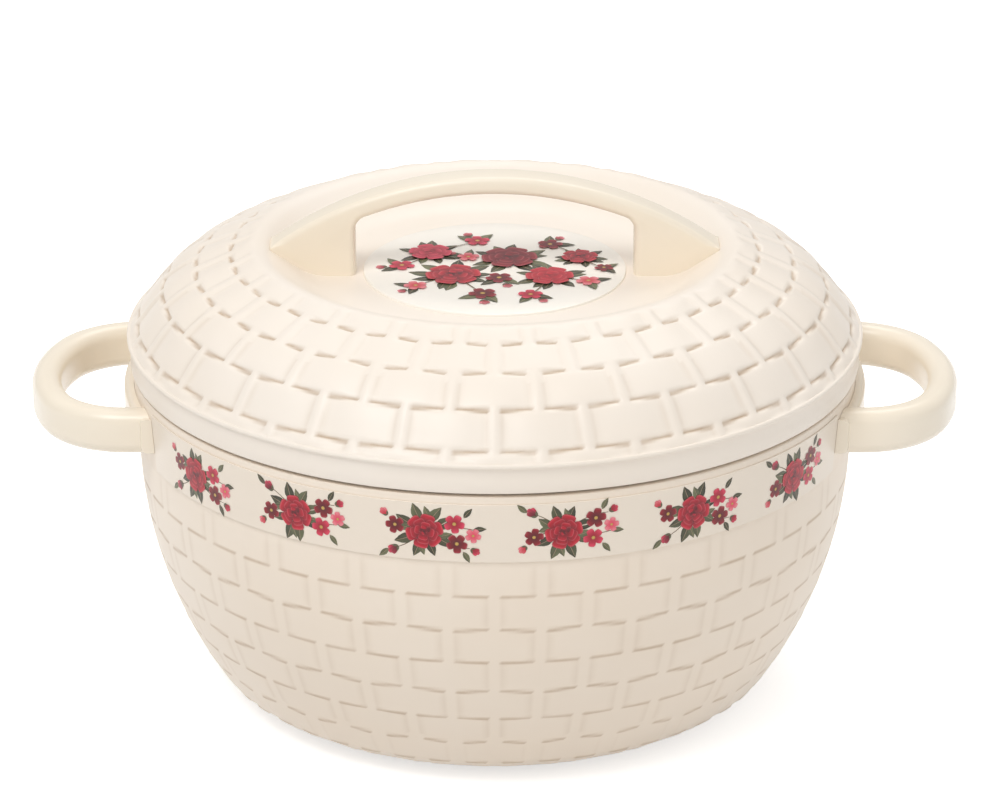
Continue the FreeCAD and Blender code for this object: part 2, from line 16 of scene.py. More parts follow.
import bpy
import numpy as np
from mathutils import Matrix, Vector

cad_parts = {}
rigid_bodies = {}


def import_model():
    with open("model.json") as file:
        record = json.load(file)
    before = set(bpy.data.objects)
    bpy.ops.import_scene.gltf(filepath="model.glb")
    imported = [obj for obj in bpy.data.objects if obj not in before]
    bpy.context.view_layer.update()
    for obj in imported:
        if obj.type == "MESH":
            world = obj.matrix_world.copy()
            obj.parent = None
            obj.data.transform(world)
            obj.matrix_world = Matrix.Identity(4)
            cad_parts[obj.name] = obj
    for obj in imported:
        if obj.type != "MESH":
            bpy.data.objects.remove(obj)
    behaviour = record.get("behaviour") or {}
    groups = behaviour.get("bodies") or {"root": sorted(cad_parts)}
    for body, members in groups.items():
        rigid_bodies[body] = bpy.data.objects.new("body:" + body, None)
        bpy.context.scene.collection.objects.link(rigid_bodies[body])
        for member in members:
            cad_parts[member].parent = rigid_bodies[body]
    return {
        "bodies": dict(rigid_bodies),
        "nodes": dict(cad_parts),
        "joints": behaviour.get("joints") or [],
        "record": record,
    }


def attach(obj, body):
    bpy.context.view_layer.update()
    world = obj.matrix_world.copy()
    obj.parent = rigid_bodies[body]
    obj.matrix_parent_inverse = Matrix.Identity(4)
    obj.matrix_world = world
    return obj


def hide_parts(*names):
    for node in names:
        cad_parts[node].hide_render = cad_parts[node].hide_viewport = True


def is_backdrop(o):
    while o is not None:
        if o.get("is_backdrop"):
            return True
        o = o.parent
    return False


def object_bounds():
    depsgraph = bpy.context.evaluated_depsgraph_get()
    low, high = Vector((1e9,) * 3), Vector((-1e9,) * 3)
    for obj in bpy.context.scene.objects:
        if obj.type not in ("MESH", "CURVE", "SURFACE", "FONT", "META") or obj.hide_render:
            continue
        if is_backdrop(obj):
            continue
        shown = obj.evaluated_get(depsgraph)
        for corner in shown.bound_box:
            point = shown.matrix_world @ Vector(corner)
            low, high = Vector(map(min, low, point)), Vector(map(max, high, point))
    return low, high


LOG = logging.getLogger("casserole")
MM = 0.001
Colour = tuple[float, float, float]
Point = tuple[float, float]
Corner = tuple[float, float, float]

# Points nearer than this count as one, in millimetres
SAME_POINT = 1e-4
# Edges that turn by more than these angles stay sharp, in degrees
WALL_ANGLE = 50.0
PRINT_ANGLE = 60.0
FILM_ANGLE = 35.0
HANDLE_ANGLE = 42.0
FLOOR_ANGLE = 40.0


class Slot(Enum):
    """Finish slots of the record."""

    WOVEN = "woven_ivory"
    PLAIN = "plain_ivory"
    HANDLE = "handle_ivory"
    FILM = "printed_film"
    BOWL = "bowl_steel"
    SCREW = "screw_steel"
    FOAM = "insulation_foam"


class Body(Enum):
    """Moving bodies of the construction."""

    BODY = "body"
    LID = "lid"


def linear(red: int, green: int, blue: int) -> Colour:
    """Linear colour of a screen colour given as 0 to 255.

    Args:
        red: red value.
        green: green value.
        blue: blue value.

    Returns:
        The three linear values, 0 to 1.
    """

    def channel(value: int) -> float:
        """Linear value of one channel."""
        part = value / 255.0
        return part / 12.92 if part <= 0.04045 else ((part + 0.055) / 1.055) ** 2.4

    return channel(red), channel(green), channel(blue)


def smooth_step(values: np.ndarray, low: float, high: float) -> np.ndarray:
    """Smooth ramp from 0 at low to 1 at high.

    Args:
        values: where to read the ramp.
        low: value at which it starts.
        high: value at which it ends.

    Returns:
        The ramp at each value.
    """
    part = np.clip((values - low) / (high - low), 0.0, 1.0)
    return part * part * (3.0 - 2.0 * part)


# Outlines of turned forms


def arc_points(centre: Point, radius: float, start: float, end: float, step: float) -> list[Point]:
    """Points along an arc, both ends included.

    Args:
        centre: centre as (radius, height).
        radius: radius of the arc.
        start: first angle, in radians from the outward direction.
        end: last angle.
        step: greatest distance between neighbouring points.

    Returns:
        Points as (radius, height).
    """
    count = max(2, math.ceil(abs(end - start) * radius / step))
    angles = [start + (end - start) * i / count for i in range(count + 1)]
    return [(centre[0] + radius * math.cos(a), centre[1] + radius * math.sin(a)) for a in angles]


def line_points(start: Point, end: Point, step: float) -> list[Point]:
    """Points along a straight run, both ends included.

    Args:
        start: first point.
        end: last point.
        step: greatest distance between neighbouring points.

    Returns:
        Points as (radius, height).
    """
    length = math.hypot(end[0] - start[0], end[1] - start[1])
    count = max(1, math.ceil(length / step))
    return [
        (start[0] + (end[0] - start[0]) * i / count, start[1] + (end[1] - start[1]) * i / count)
        for i in range(count + 1)
    ]


def blended(corners: list[Corner], step: float) -> list[Point]:
    """Straight runs through corners, with a tangent arc at each corner that has a blend radius.

    Args:
        corners: (radius, height, blend) triples.
        step: greatest distance between neighbouring points.

    Returns:
        Points as (radius, height).
    """
    points: list[Point] = []
    cursor = np.array(corners[0][:2])
    for before, here, after in zip(corners, corners[1:], corners[2:]):
        corner = np.array(here[:2])
        back = np.array(before[:2]) - corner
        ahead = np.array(after[:2]) - corner
        back = back / np.linalg.norm(back)
        ahead = ahead / np.linalg.norm(ahead)
        half = math.acos(float(np.clip(back @ ahead, -1, 1))) / 2
        if here[2] <= 0:
            points += line_points(tuple(cursor), tuple(corner), step)
            cursor = corner
            continue
        reach = here[2] / math.tan(half)
        start = corner + back * reach
        end = corner + ahead * reach
        between = back + ahead
        centre = corner + between / np.linalg.norm(between) * (here[2] / math.sin(half))
        points += line_points(tuple(cursor), tuple(start), step)
        first = math.atan2(*(start - centre)[::-1])
        turn = math.atan2(*(end - centre)[::-1]) - first
        turn = (turn + math.pi) % (2 * math.pi) - math.pi
        points += arc_points(tuple(centre), here[2], first, first + turn, step)
        cursor = end
    points += line_points(tuple(cursor), tuple(corners[-1][:2]), step)
    return points


def without_repeats(points: list[Point]) -> np.ndarray:
    """Points with neighbours that coincide dropped.

    Args:
        points: points as (radius, height).

    Returns:
        Array of the kept points.
    """
    kept = [points[0]]
    for point in points[1:]:
        if math.dist(point, kept[-1]) > SAME_POINT:
            kept.append(point)
    if math.dist(kept[0], kept[-1]) < SAME_POINT:
        kept.pop()
    return np.array(kept)


def outline_normals(points: np.ndarray) -> np.ndarray:
    """Unit normals of an open run of outline points, to the left of its direction of travel.

    Args:
        points: outline points in order.

    Returns:
        One normal per point.
    """
    along = np.gradient(points, axis=0)
    along /= np.linalg.norm(along, axis=1)[:, None]
    return np.stack([-along[:, 1], along[:, 0]], axis=1)


def travelled(points: np.ndarray) -> np.ndarray:
    """Distance along a run of points, from its first point to each of them."""
    lengths = np.linalg.norm(np.diff(points, axis=0), axis=1)
    return np.concatenate([[0.0], np.cumsum(lengths)])


# Meshes


def add_mesh(
    name: str, vertices: np.ndarray, faces: np.ndarray | list, smooth_angle: float
) -> bpy.types.Object:
    """New object from vertices in metres.

    Args:
        name: name of the piece.
        vertices: (n, 3) coordinates.
        faces: vertex numbers of each face.
        smooth_angle: edges that turn by more than this many degrees stay sharp.

    Returns:
        The object, linked to the scene.
    """
    mesh = bpy.data.meshes.new(name)
    if isinstance(faces, np.ndarray):
        count, size = faces.shape
        mesh.vertices.add(len(vertices))
        mesh.vertices.foreach_set("co", np.asarray(vertices, np.float32).ravel())
        mesh.loops.add(count * size)
        mesh.loops.foreach_set("vertex_index", faces.ravel().astype(np.int32))
        mesh.polygons.add(count)
        mesh.polygons.foreach_set("loop_start", np.arange(0, count * size, size, dtype=np.int32))
        mesh.update(calc_edges=True)
    else:
        mesh.from_pydata([tuple(v) for v in vertices], [], faces)
    mesh.validate()
    mesh.shade_smooth()
    mesh.set_sharp_from_angle(angle=math.radians(smooth_angle))
    piece = bpy.data.objects.new(name, mesh)
    bpy.context.scene.collection.objects.link(piece)
    return piece


def store_colour(piece: bpy.types.Object, name: str, values: np.ndarray) -> None:
    """Keeps a colour per vertex on a piece.

    Args:
        piece: object whose mesh gets the attribute.
        name: name of the attribute.
        values: (n, 3) linear colours.
    """
    rows = np.ones((len(values), 4), np.float32)
    rows[:, :3] = values
    layer = piece.data.color_attributes.new(name, "FLOAT_COLOR", "POINT")
    layer.data.foreach_set("color", rows.ravel())


def ring_faces(rings: int, segments: int, first: int = 0, closed: bool = True) -> np.ndarray:
    """Quads between neighbouring rings of vertices.

    Args:
        rings: number of rings.
        segments: vertices in each ring.
        first: number of the first vertex.
        closed: joins the last ring to the first as well.

    Returns:
        (n, 4) vertex numbers.
    """
    last = rings if closed else rings - 1
    ring = np.arange(last)[:, None]
    after = (ring + 1) % rings
    segment = np.arange(segments)[None, :]
    beside = (segment + 1) % segments
    quads = [
        ring * segments + segment,
        ring * segments + beside,
        after * segments + beside,
        after * segments + segment,
    ]
    return first + np.stack(np.broadcast_arrays(*quads), axis=-1).reshape(-1, 4)


def capped_faces(rings: int, segments: int, first: int = 0) -> list[tuple[int, ...]]:
    """Faces of a bar whose rings of vertices run from end to end, with a cap at each end.

    Args:
        rings: number of rings.
        segments: vertices in each ring.
        first: number of the first vertex.

    Returns:
        Vertex numbers of each face.
    """
    faces = [tuple(face) for face in ring_faces(rings, segments, first, closed=False)]
    last = first + (rings - 1) * segments
    return faces + [tuple(range(first, first + segments))[::-1], tuple(range(last, last + segments))]


def turned_vertices(outline: np.ndarray, segments: int, shift: np.ndarray | None = None) -> np.ndarray:
    """Vertices of an outline turned about Z.

    Args:
        outline: (n, 2) radii and heights, in millimetres.
        segments: vertices round each ring.
        shift: (n, segments, 2) offset of each vertex in radius and height.

    Returns:
        (n * segments, 3) coordinates in metres.
    """
    angles = np.arange(segments) * 2 * math.pi / segments
    flat = np.repeat(outline[:, None, :], segments, axis=1)
    if shift is not None:
        flat = flat + shift
    x = flat[:, :, 0] * np.cos(angles)
    y = flat[:, :, 0] * np.sin(angles)
    return np.stack([x, y, flat[:, :, 1]], axis=-1).reshape(-1, 3) * MM


def cylinder_mesh(
    centre: Vector, direction: Vector, radius: float, length: float, first: int, segments: int = 32
) -> tuple[np.ndarray, np.ndarray]:
    """Plain cylinder wall, to be joined into a larger mesh.

    Args:
        centre: middle of its first end, in millimetres.
        direction: unit vector along it.
        radius: its radius.
        length: its length.
        first: number that its first vertex will have.
        segments: vertices round each end.

    Returns:
        Vertices in metres and quads.
    """
    side = direction.orthogonal().normalized()
    other = direction.cross(side)
    rows = []
    for reach in (0.0, length):
        for i in range(segments):
            turn = 2 * math.pi * i / segments
            place = centre + direction * reach + (side * math.cos(turn) + other * math.sin(turn)) * radius
            rows.append(tuple(place))
    return np.array(rows) * MM, ring_faces(2, segments, first, closed=False)


# Basket weave moulded into the walls


@dataclass(frozen=True)
class WovenRelief:
    """Plain weave of flat strands over and under upright stakes, as a height over a turned wall.

    Heights are in millimetres, outward from the wall.
    """

    stakes: int = 50
    swing: float = 0.42
    edge_swing: float = 0.55
    swell_power: float = 0.8
    belly_power: int = 5
    strand_roll: float = 0.85
    strand_level: float = -0.22
    groove_half: float = 0.095
    stake_half_width: float = 2.2
    stake_rise: float = 0.6
    stake_level: float = -0.5
    beside_stake: float = 2.0
    floor_margin: float = 0.4
    shade_level: float = -0.5
    shade_span: float = 0.45

    def phases(self, segments: int) -> np.ndarray:
        """Stake coordinate of each vertex round a ring, halfway between two stakes at the first."""
        return np.arange(segments) * self.stakes / segments + 0.5

    def heights(
        self, phase: np.ndarray, arc: np.ndarray, radii: np.ndarray, rows: list[float]
    ) -> tuple[np.ndarray, np.ndarray]:
        """Relief and how deep each point lies.

        Args:
            phase: (m,) stake coordinate round the wall, whole at each stake.
            arc: (n,) distance along the wall, in millimetres.
            radii: (n,) radius of the wall there.
            rows: distances at which strands meet.

        Returns:
            (n, m) heights in millimetres and (n, m) cavity masks, 0 to 1.
        """
        edges = np.array(rows)
        row = np.clip(np.searchsorted(edges, arc, side="right") - 1, 0, len(edges) - 2)
        across = np.clip((arc - edges[row]) / (edges[row + 1] - edges[row]), 0.0, 1.0)
        side = np.abs(2 * across - 1)[:, None]
        wave = np.cos(math.pi * (phase[None, :] + row[:, None]))
        belly = 1 - side ** self.belly_power
        flank = np.clip((1 - side) / (2 * self.groove_half), 0.0, 1.0)
        rolled = flank * flank * (3 - 2 * flank)
        swell = np.sign(wave) * np.abs(wave) ** self.swell_power
        full = self.edge_swing + (1 - self.edge_swing) * belly
        strand = self.strand_level + self.swing * swell * full - self.strand_roll * (1 - rolled)
        pitch = 2 * math.pi / self.stakes * radii[:, None]
        from_stake = np.abs(phase - np.round(phase))[None, :] * pitch
        dome = np.sqrt(np.clip(1 - (from_stake / self.stake_half_width) ** 2, 0.0, 1.0))
        stake = self.stake_level + self.stake_rise * dome - self.beside_stake * (dome <= 0)
        floor = self.strand_level - self.swing - self.floor_margin
        height = np.maximum(np.maximum(strand, stake), floor)
        # How deep a point lies in the weave; this mask sets the painted shade in the grooves
        depth = np.clip((self.shade_level - height) / self.shade_span, 0.0, 1.0)
        return height, depth


@dataclass(frozen=True)
class WovenWall:
    """Turned wall whose first stretch carries the weave."""

    outline: np.ndarray
    woven: np.ndarray
    normals: np.ndarray
    fade: np.ndarray
    segments: int
    relief: WovenRelief

    def displaced(self, arc: np.ndarray, rows: list[float]) -> tuple[np.ndarray, np.ndarray]:
        """Vertices with the weave, and how deep each lies in it.

        Args:
            arc: distance along the woven stretch.
            rows: distances at which strands meet.

        Returns:
            Vertices in metres, and one cavity value for each.
        """
        phase = self.relief.phases(self.segments)
        height, depth = self.relief.heights(phase, arc, self.woven[:, 0], rows)
        height *= self.fade[:, None]
        depth *= self.fade[:, None]
        count = len(self.woven)
        shift = np.zeros((len(self.outline), self.segments, 2))
        shift[:count] = height[:, :, None] * self.normals[:, None, :]
        cavity = np.zeros((len(self.outline), self.segments))
        cavity[:count] = depth
        return turned_vertices(self.outline, self.segments, shift), cavity.ravel()


# Floral print

MAROON = linear(76, 2, 14)
CRIMSON = linear(146, 2, 26)
ROSE_RED = linear(196, 4, 38)
ROSE_PINK = linear(220, 56, 88)
BLUSH = linear(236, 138, 146)
LEAF_DARK = linear(42, 38, 24)
LEAF_MID = linear(78, 80, 48)
LEAF_PALE = linear(124, 128, 92)
TWIG = linear(120, 100, 76)
POLLEN = linear(214, 176, 92)

# Outline points of a petal, steps along a leaf and points of a stem
PETAL_POINTS = 18
LEAF_STEPS = 10
STEM_POINTS = 8
# A petal's two layers, each as its size and how far its rim fades to blush
PETAL_LAYERS = ((1.0, 0.2), (0.88, 0.0))
# Four times the sideways bend of a leaf at its middle, as a part of its length
LEAF_BEND = 0.10
# Rings of a rose, each as its petals, start, length, width and depth of colour
ROSE_RINGS = ((6, 0.34, 0.66, 0.92, 0.0), (5, 0.20, 0.56, 0.74, 0.25), (4, 0.04, 0.5, 0.6, 0.1))
ROSE_GROUND_POINTS = 12
HEART_PETALS = 5
BLOSSOM_PETALS = 5
POLLEN_POINTS = 8
# Stems of a sprig, each as where it starts and ends beside the rose, its climb, bow and width
SPRIG_STEMS = (
    (-2.0, -10.6, 3.0, 0.9, 0.5),
    (2.0, 16.1, 1.4, 1.2, 0.5),
    (1.0, 14.5, -5.2, -1.4, 0.45),
    (-1.0, -9.5, -6.4, 0.8, 0.45),
)
# Headings of the leaves round its rose, and its loose leaves as reach, climb and heading
SPRIG_HEADINGS = (0.35, 1.15, 1.9, 2.7, 3.6, 4.3, 5.0, 5.8)
SPRIG_LEAVES = ((12.6, 5.6, 0.9), (15.5, 1.4, 0.1), (12.4, -6.4, 5.2), (-11.8, -7.0, 3.9))


def mixed(first: Colour, second: Colour, part: float) -> Colour:
    """Colour between two, at part of the way from the first to the second."""
    return tuple(a + (b - a) * part for a, b in zip(first, second))


@dataclass
class InkSheet:
    """Flat shapes of printed ink, laid in thin layers on one sheet."""

    vertices: list[tuple[float, float, float]] = field(default_factory=list)
    faces: list[tuple[int, ...]] = field(default_factory=list)
    colours: list[Colour] = field(default_factory=list)
    layer: int = 0

    def fan(
        self, middle: Point, rim: list[Point], middle_colour: Colour, rim_colours: list[Colour]
    ) -> None:
        """Closed shape as a fan about a middle point, on a layer of its own.

        Args:
            middle: middle point.
            rim: outline points in order.
            middle_colour: colour at the middle.
            rim_colours: colour at each outline point.
        """
        self.layer += 1
        start = len(self.vertices)
        self.vertices.append((middle[0], middle[1], self.layer))
        self.colours.append(middle_colour)
        for point, colour in zip(rim, rim_colours):
            self.vertices.append((point[0], point[1], self.layer))
            self.colours.append(colour)
        count = len(rim)
        self.faces += [(start, start + 1 + i, start + 1 + (i + 1) % count) for i in range(count)]

    def petal(
        self, base: Point, heading: float, length: float, width: float, inner: Colour, outer: Colour
    ) -> None:
        """Round petal that starts at base and widens away from it, with a paler rim.

        Args:
            base: where it starts.
            heading: direction in radians.
            length: its length.
            width: its greatest width.
            inner: colour at the base.
            outer: colour at the far edge.
        """
        for grow, brighten in PETAL_LAYERS:
            rim, colours = [], []
            for i in range(PETAL_POINTS):
                turn = 2 * math.pi * i / PETAL_POINTS
                along = (1 - math.cos(turn)) / 2
                wide = math.sin(turn) * (0.62 + 0.38 * along) * width * grow / 2
                wave = 1 + 0.05 * math.cos(3 * turn)
                reach = along * length * grow * wave
                rim.append(self.placed(base, heading, reach, wide))
                colours.append(mixed(mixed(inner, outer, along ** 1.4), BLUSH, brighten * along))
            middle = self.placed(base, heading, length * 0.45, 0.0)
            self.fan(middle, rim, mixed(mixed(inner, outer, 0.35), BLUSH, brighten * 0.3), colours)

    @staticmethod
    def placed(base: Point, heading: float, along: float, across: float) -> Point:
        """Point at (along, across) from base, for a shape that points along heading."""
        c, s = math.cos(heading), math.sin(heading)
        return base[0] + along * c - across * s, base[1] + along * s + across * c

    def circle(self, centre: Point, radius: float, count: int) -> list[Point]:
        """Points evenly round a circle."""
        return [self.placed(centre, 2 * math.pi * i / count, radius, 0.0) for i in range(count)]

    def leaf(self, base: Point, heading: float, length: float, width: float, tone: float) -> None:
        """Pointed leaf with a light half, a dark half and a midrib.

        Args:
            base: where its stalk joins.
            heading: direction in radians.
            length: its length.
            width: its width.
            tone: 0 for dark, 1 for pale.
        """
        body = mixed(LEAF_DARK, LEAF_PALE, tone)
        for side, shade in ((1, 0.0), (-1, 0.35)):
            rim, colours = [], []
            for i in range(LEAF_STEPS + 1):
                t = i / LEAF_STEPS
                ragged = 1 + 0.06 * math.cos(9 * t * math.pi)
                wide = side * width / 2 * math.sin(math.pi * t ** 0.85) * ragged
                bend = LEAF_BEND * length * t * (1 - t)
                rim.append(self.placed(base, heading, t * length, wide + bend))
                colours.append(mixed(body, LEAF_DARK if side < 0 else LEAF_PALE, shade + 0.25 * t))
            middle = self.placed(base, heading, length * 0.5, side * width * 0.12)
            self.fan(middle, rim, mixed(body, LEAF_MID, 0.5), colours)
        rib = [
            self.placed(base, heading, length * t, LEAF_BEND * length * t * (1 - t))
            for t in (0.0, 0.3, 0.6, 0.92)
        ]
        self.stroke(rib, width * 0.09, width * 0.03, mixed(LEAF_PALE, BLUSH, 0.2))

    def stroke(self, path: list[Point], start_width: float, end_width: float, colour: Colour) -> None:
        """Tapered line through points.

        Args:
            path: points in order.
            start_width: width at the first point.
            end_width: width at the last point.
            colour: its colour.
        """
        self.layer += 1
        first = len(self.vertices)
        count = len(path)
        for i, point in enumerate(path):
            before = path[max(i - 1, 0)]
            after = path[min(i + 1, count - 1)]
            heading = math.atan2(after[1] - before[1], after[0] - before[0])
            half = (start_width + (end_width - start_width) * i / (count - 1)) / 2
            for side in (-1, 1):
                place = self.placed(point, heading, 0.0, side * half)
                self.vertices.append((place[0], place[1], self.layer))
                self.colours.append(colour)
        for i in range(count - 1):
            a = first + 2 * i
            self.faces.append((a, a + 2, a + 3, a + 1))

    def stem(self, start: Point, end: Point, bow: float, width: float) -> None:
        """Bowed twig.

        Args:
            start: its first point.
            end: its last point.
            bow: its sideways reach at the middle.
            width: width at the start.
        """
        heading = math.atan2(end[1] - start[1], end[0] - start[0])
        length = math.hypot(end[0] - start[0], end[1] - start[1])
        path = [
            self.placed(start, heading, length * t, bow * 4 * t * (1 - t))
            for t in np.linspace(0, 1, STEM_POINTS)
        ]
        self.stroke(path, width, width * 0.5, TWIG)

    def rose(self, centre: Point, radius: float, turn: float, dark: Colour, bright: Colour) -> None:
        """Open rose: rings of petals about a rolled heart.

        Args:
            centre: its middle.
            radius: its radius.
            turn: angle of its first petal.
            dark: colour deep between the petals.
            bright: colour at the petals' edges.
        """
        ground = self.circle(centre, radius * 0.55, ROSE_GROUND_POINTS)
        self.fan(centre, ground, dark, [dark] * ROSE_GROUND_POINTS)
        deep = mixed(dark, bright, 0.12)
        for number, (count, start, length, width, deeper) in enumerate(ROSE_RINGS):
            edge = mixed(bright, dark, deeper)
            for i in range(count):
                heading = turn + number * 0.55 + 2 * math.pi * i / count
                base = self.placed(centre, heading, radius * start, 0.0)
                self.petal(base, heading, radius * length, radius * width, deep, edge)
        for i in range(HEART_PETALS):
            heading = turn + 1.3 * i
            base = self.placed(centre, heading, radius * (0.20 - 0.032 * i), -radius * 0.10)
            tone = dark if i % 2 == 0 else mixed(dark, bright, 0.75)
            length, width = radius * (0.34 - 0.045 * i), radius * (0.24 - 0.03 * i)
            self.petal(base, heading + 1.25, length, width, tone, mixed(tone, bright, 0.3))

    def bud(self, base: Point, heading: float, length: float, dark: Colour, bright: Colour) -> None:
        """Closed bud with sepals at its foot.

        Args:
            base: where its stalk joins.
            heading: direction in radians.
            length: its length.
            dark: colour at its foot.
            bright: colour at its tip.
        """
        for side in (-1, 0, 1):
            long = length * (1 - 0.12 * abs(side))
            tip = mixed(bright, dark, 0.3 * (side + 1))
            self.petal(base, heading + side * 0.32, long, length * 0.5, dark, tip)
        for side in (-0.7, 0.7):
            self.leaf(base, heading + side, length * 0.5, length * 0.2, 0.35)

    def blossom(self, centre: Point, radius: float, turn: float, dark: Colour, bright: Colour) -> None:
        """Small open flower of five petals.

        Args:
            centre: its middle.
            radius: its radius.
            turn: angle of its first petal.
            dark: colour at the middle.
            bright: colour at the edges.
        """
        for i in range(BLOSSOM_PETALS):
            heading = turn + 2 * math.pi * i / BLOSSOM_PETALS
            self.petal(centre, heading, radius, radius * 0.86, dark, bright)
        rim = self.circle(centre, radius * 0.18, POLLEN_POINTS)
        self.fan(centre, rim, POLLEN, [mixed(POLLEN, MAROON, 0.4)] * POLLEN_POINTS)

    def made(self, name: str, place: Callable[[np.ndarray], np.ndarray]) -> bpy.types.Object:
        """Object of all the shapes, laid on a surface.

        Args:
            name: name of the piece.
            place: turns (n, 3) rows of x, y and layer into coordinates in metres.

        Returns:
            The object, with its colours kept per vertex.
        """
        rows = np.array(self.vertices, float)
        piece = add_mesh(name, place(rows), self.faces, PRINT_ANGLE)
        store_colour(piece, "ink", np.array(self.colours))
        return piece


# Finishes

# Screen colours of the mouldings, the films and their shade
LID_IVORY = linear(247, 237, 225)
LID_WARM = linear(243, 230, 214)
BODY_IVORY = linear(244, 231, 215)
BODY_WARM = linear(240, 224, 205)
RING_IVORY = linear(240, 229, 214)
HANDLE_IVORY = linear(247, 236, 218)
HANDLE_WARM = linear(243, 230, 208)
GROOVE_SHADE = linear(198, 174, 148)
FILM_WHITE = linear(250, 245, 236)
BAND_WHITE = linear(241, 228, 212)
FOAM_YELLOW = linear(236, 214, 150)
FOAM_SHADE = linear(206, 172, 104)
BOWL_GREY: Colour = (0.70, 0.70, 0.71)
SCREW_GREY: Colour = (0.48, 0.48, 0.49)
# Tones that the drift of a film and of the steel leans towards
FILM_TAN: Colour = (0.80, 0.72, 0.60)
STEEL_SHADE: Colour = (0.4, 0.4, 0.42)


class NodeSketch:
    """Short calls for drawing a shader tree."""

    def __init__(self, tree: bpy.types.NodeTree) -> None:
        """Keeps the tree that is drawn."""
        self.tree = tree
        self.column = 0

    def add(self, kind: str, inputs: dict | None = None, **settings: object) -> bpy.types.Node:
        """New node with its settings and inputs.

        Args:
            kind: Blender's name of the node type.
            inputs: value or output socket for each input, by name or number.
            settings: attributes of the node.

        Returns:
            The node.
        """
        node = self.tree.nodes.new(kind)
        self.column += 1
        node.location = (180 * self.column, 0)
        for name, value in settings.items():
            setattr(node, name, value)
        for key, value in (inputs or {}).items():
            if isinstance(value, bpy.types.NodeSocket):
                self.tree.links.new(value, node.inputs[key])
            else:
                node.inputs[key].default_value = value
        return node

    def math(self, operation: str, first: object, second: object = 0.0) -> bpy.types.NodeSocket:
        """Output of a math node."""
        return self.add("ShaderNodeMath", {0: first, 1: second}, operation=operation).outputs[0]

    def mix(self, part: object, first: object, second: object, blend: str = "MIX") -> bpy.types.NodeSocket:
        """Output of a colour mix."""
        inputs = {0: part, 6: first, 7: second}
        return self.add("ShaderNodeMix", inputs, data_type="RGBA", blend_type=blend).outputs[2]

    def spread(self, value: object, low: float, high: float) -> bpy.types.NodeSocket:
        """Value of 0 to 1 spread from low to high."""
        inputs = {"Value": value, "To Min": low, "To Max": high}
        return self.add("ShaderNodeMapRange", inputs).outputs[0]


def rgba(colour: Colour) -> tuple[float, float, float, float]:
    """Colour with full alpha."""
    return (*colour, 1.0)


def new_group(
    name: str, inputs: dict[str, tuple[str, object]], outputs: dict[str, str]
) -> tuple[NodeSketch, bpy.types.Node, bpy.types.Node]:
    """Empty node group with its sockets.

    Args:
        name: name of the group.
        inputs: type and default of each input.
        outputs: type of each output.

    Returns:
        The sketch, its input node and its output node.
    """
    tree = bpy.data.node_groups.new(name, "ShaderNodeTree")
    for key, (kind, value) in inputs.items():
        socket = tree.interface.new_socket(key, in_out="INPUT", socket_type=kind)
        socket.default_value = value
    for key, kind in outputs.items():
        tree.interface.new_socket(key, in_out="OUTPUT", socket_type=kind)
    sketch = NodeSketch(tree)
    return sketch, sketch.add("NodeGroupInput"), sketch.add("NodeGroupOutput")


def noise(
    sketch: NodeSketch, place: object, scale: object, detail: float, rough: float
) -> bpy.types.NodeSocket:
    """Value of a noise texture, rough being how much its finer octaves count."""
    inputs = {"Vector": place, "Scale": scale, "Detail": detail, "Roughness": rough}
    return sketch.add("ShaderNodeTexNoise", inputs).outputs[0]


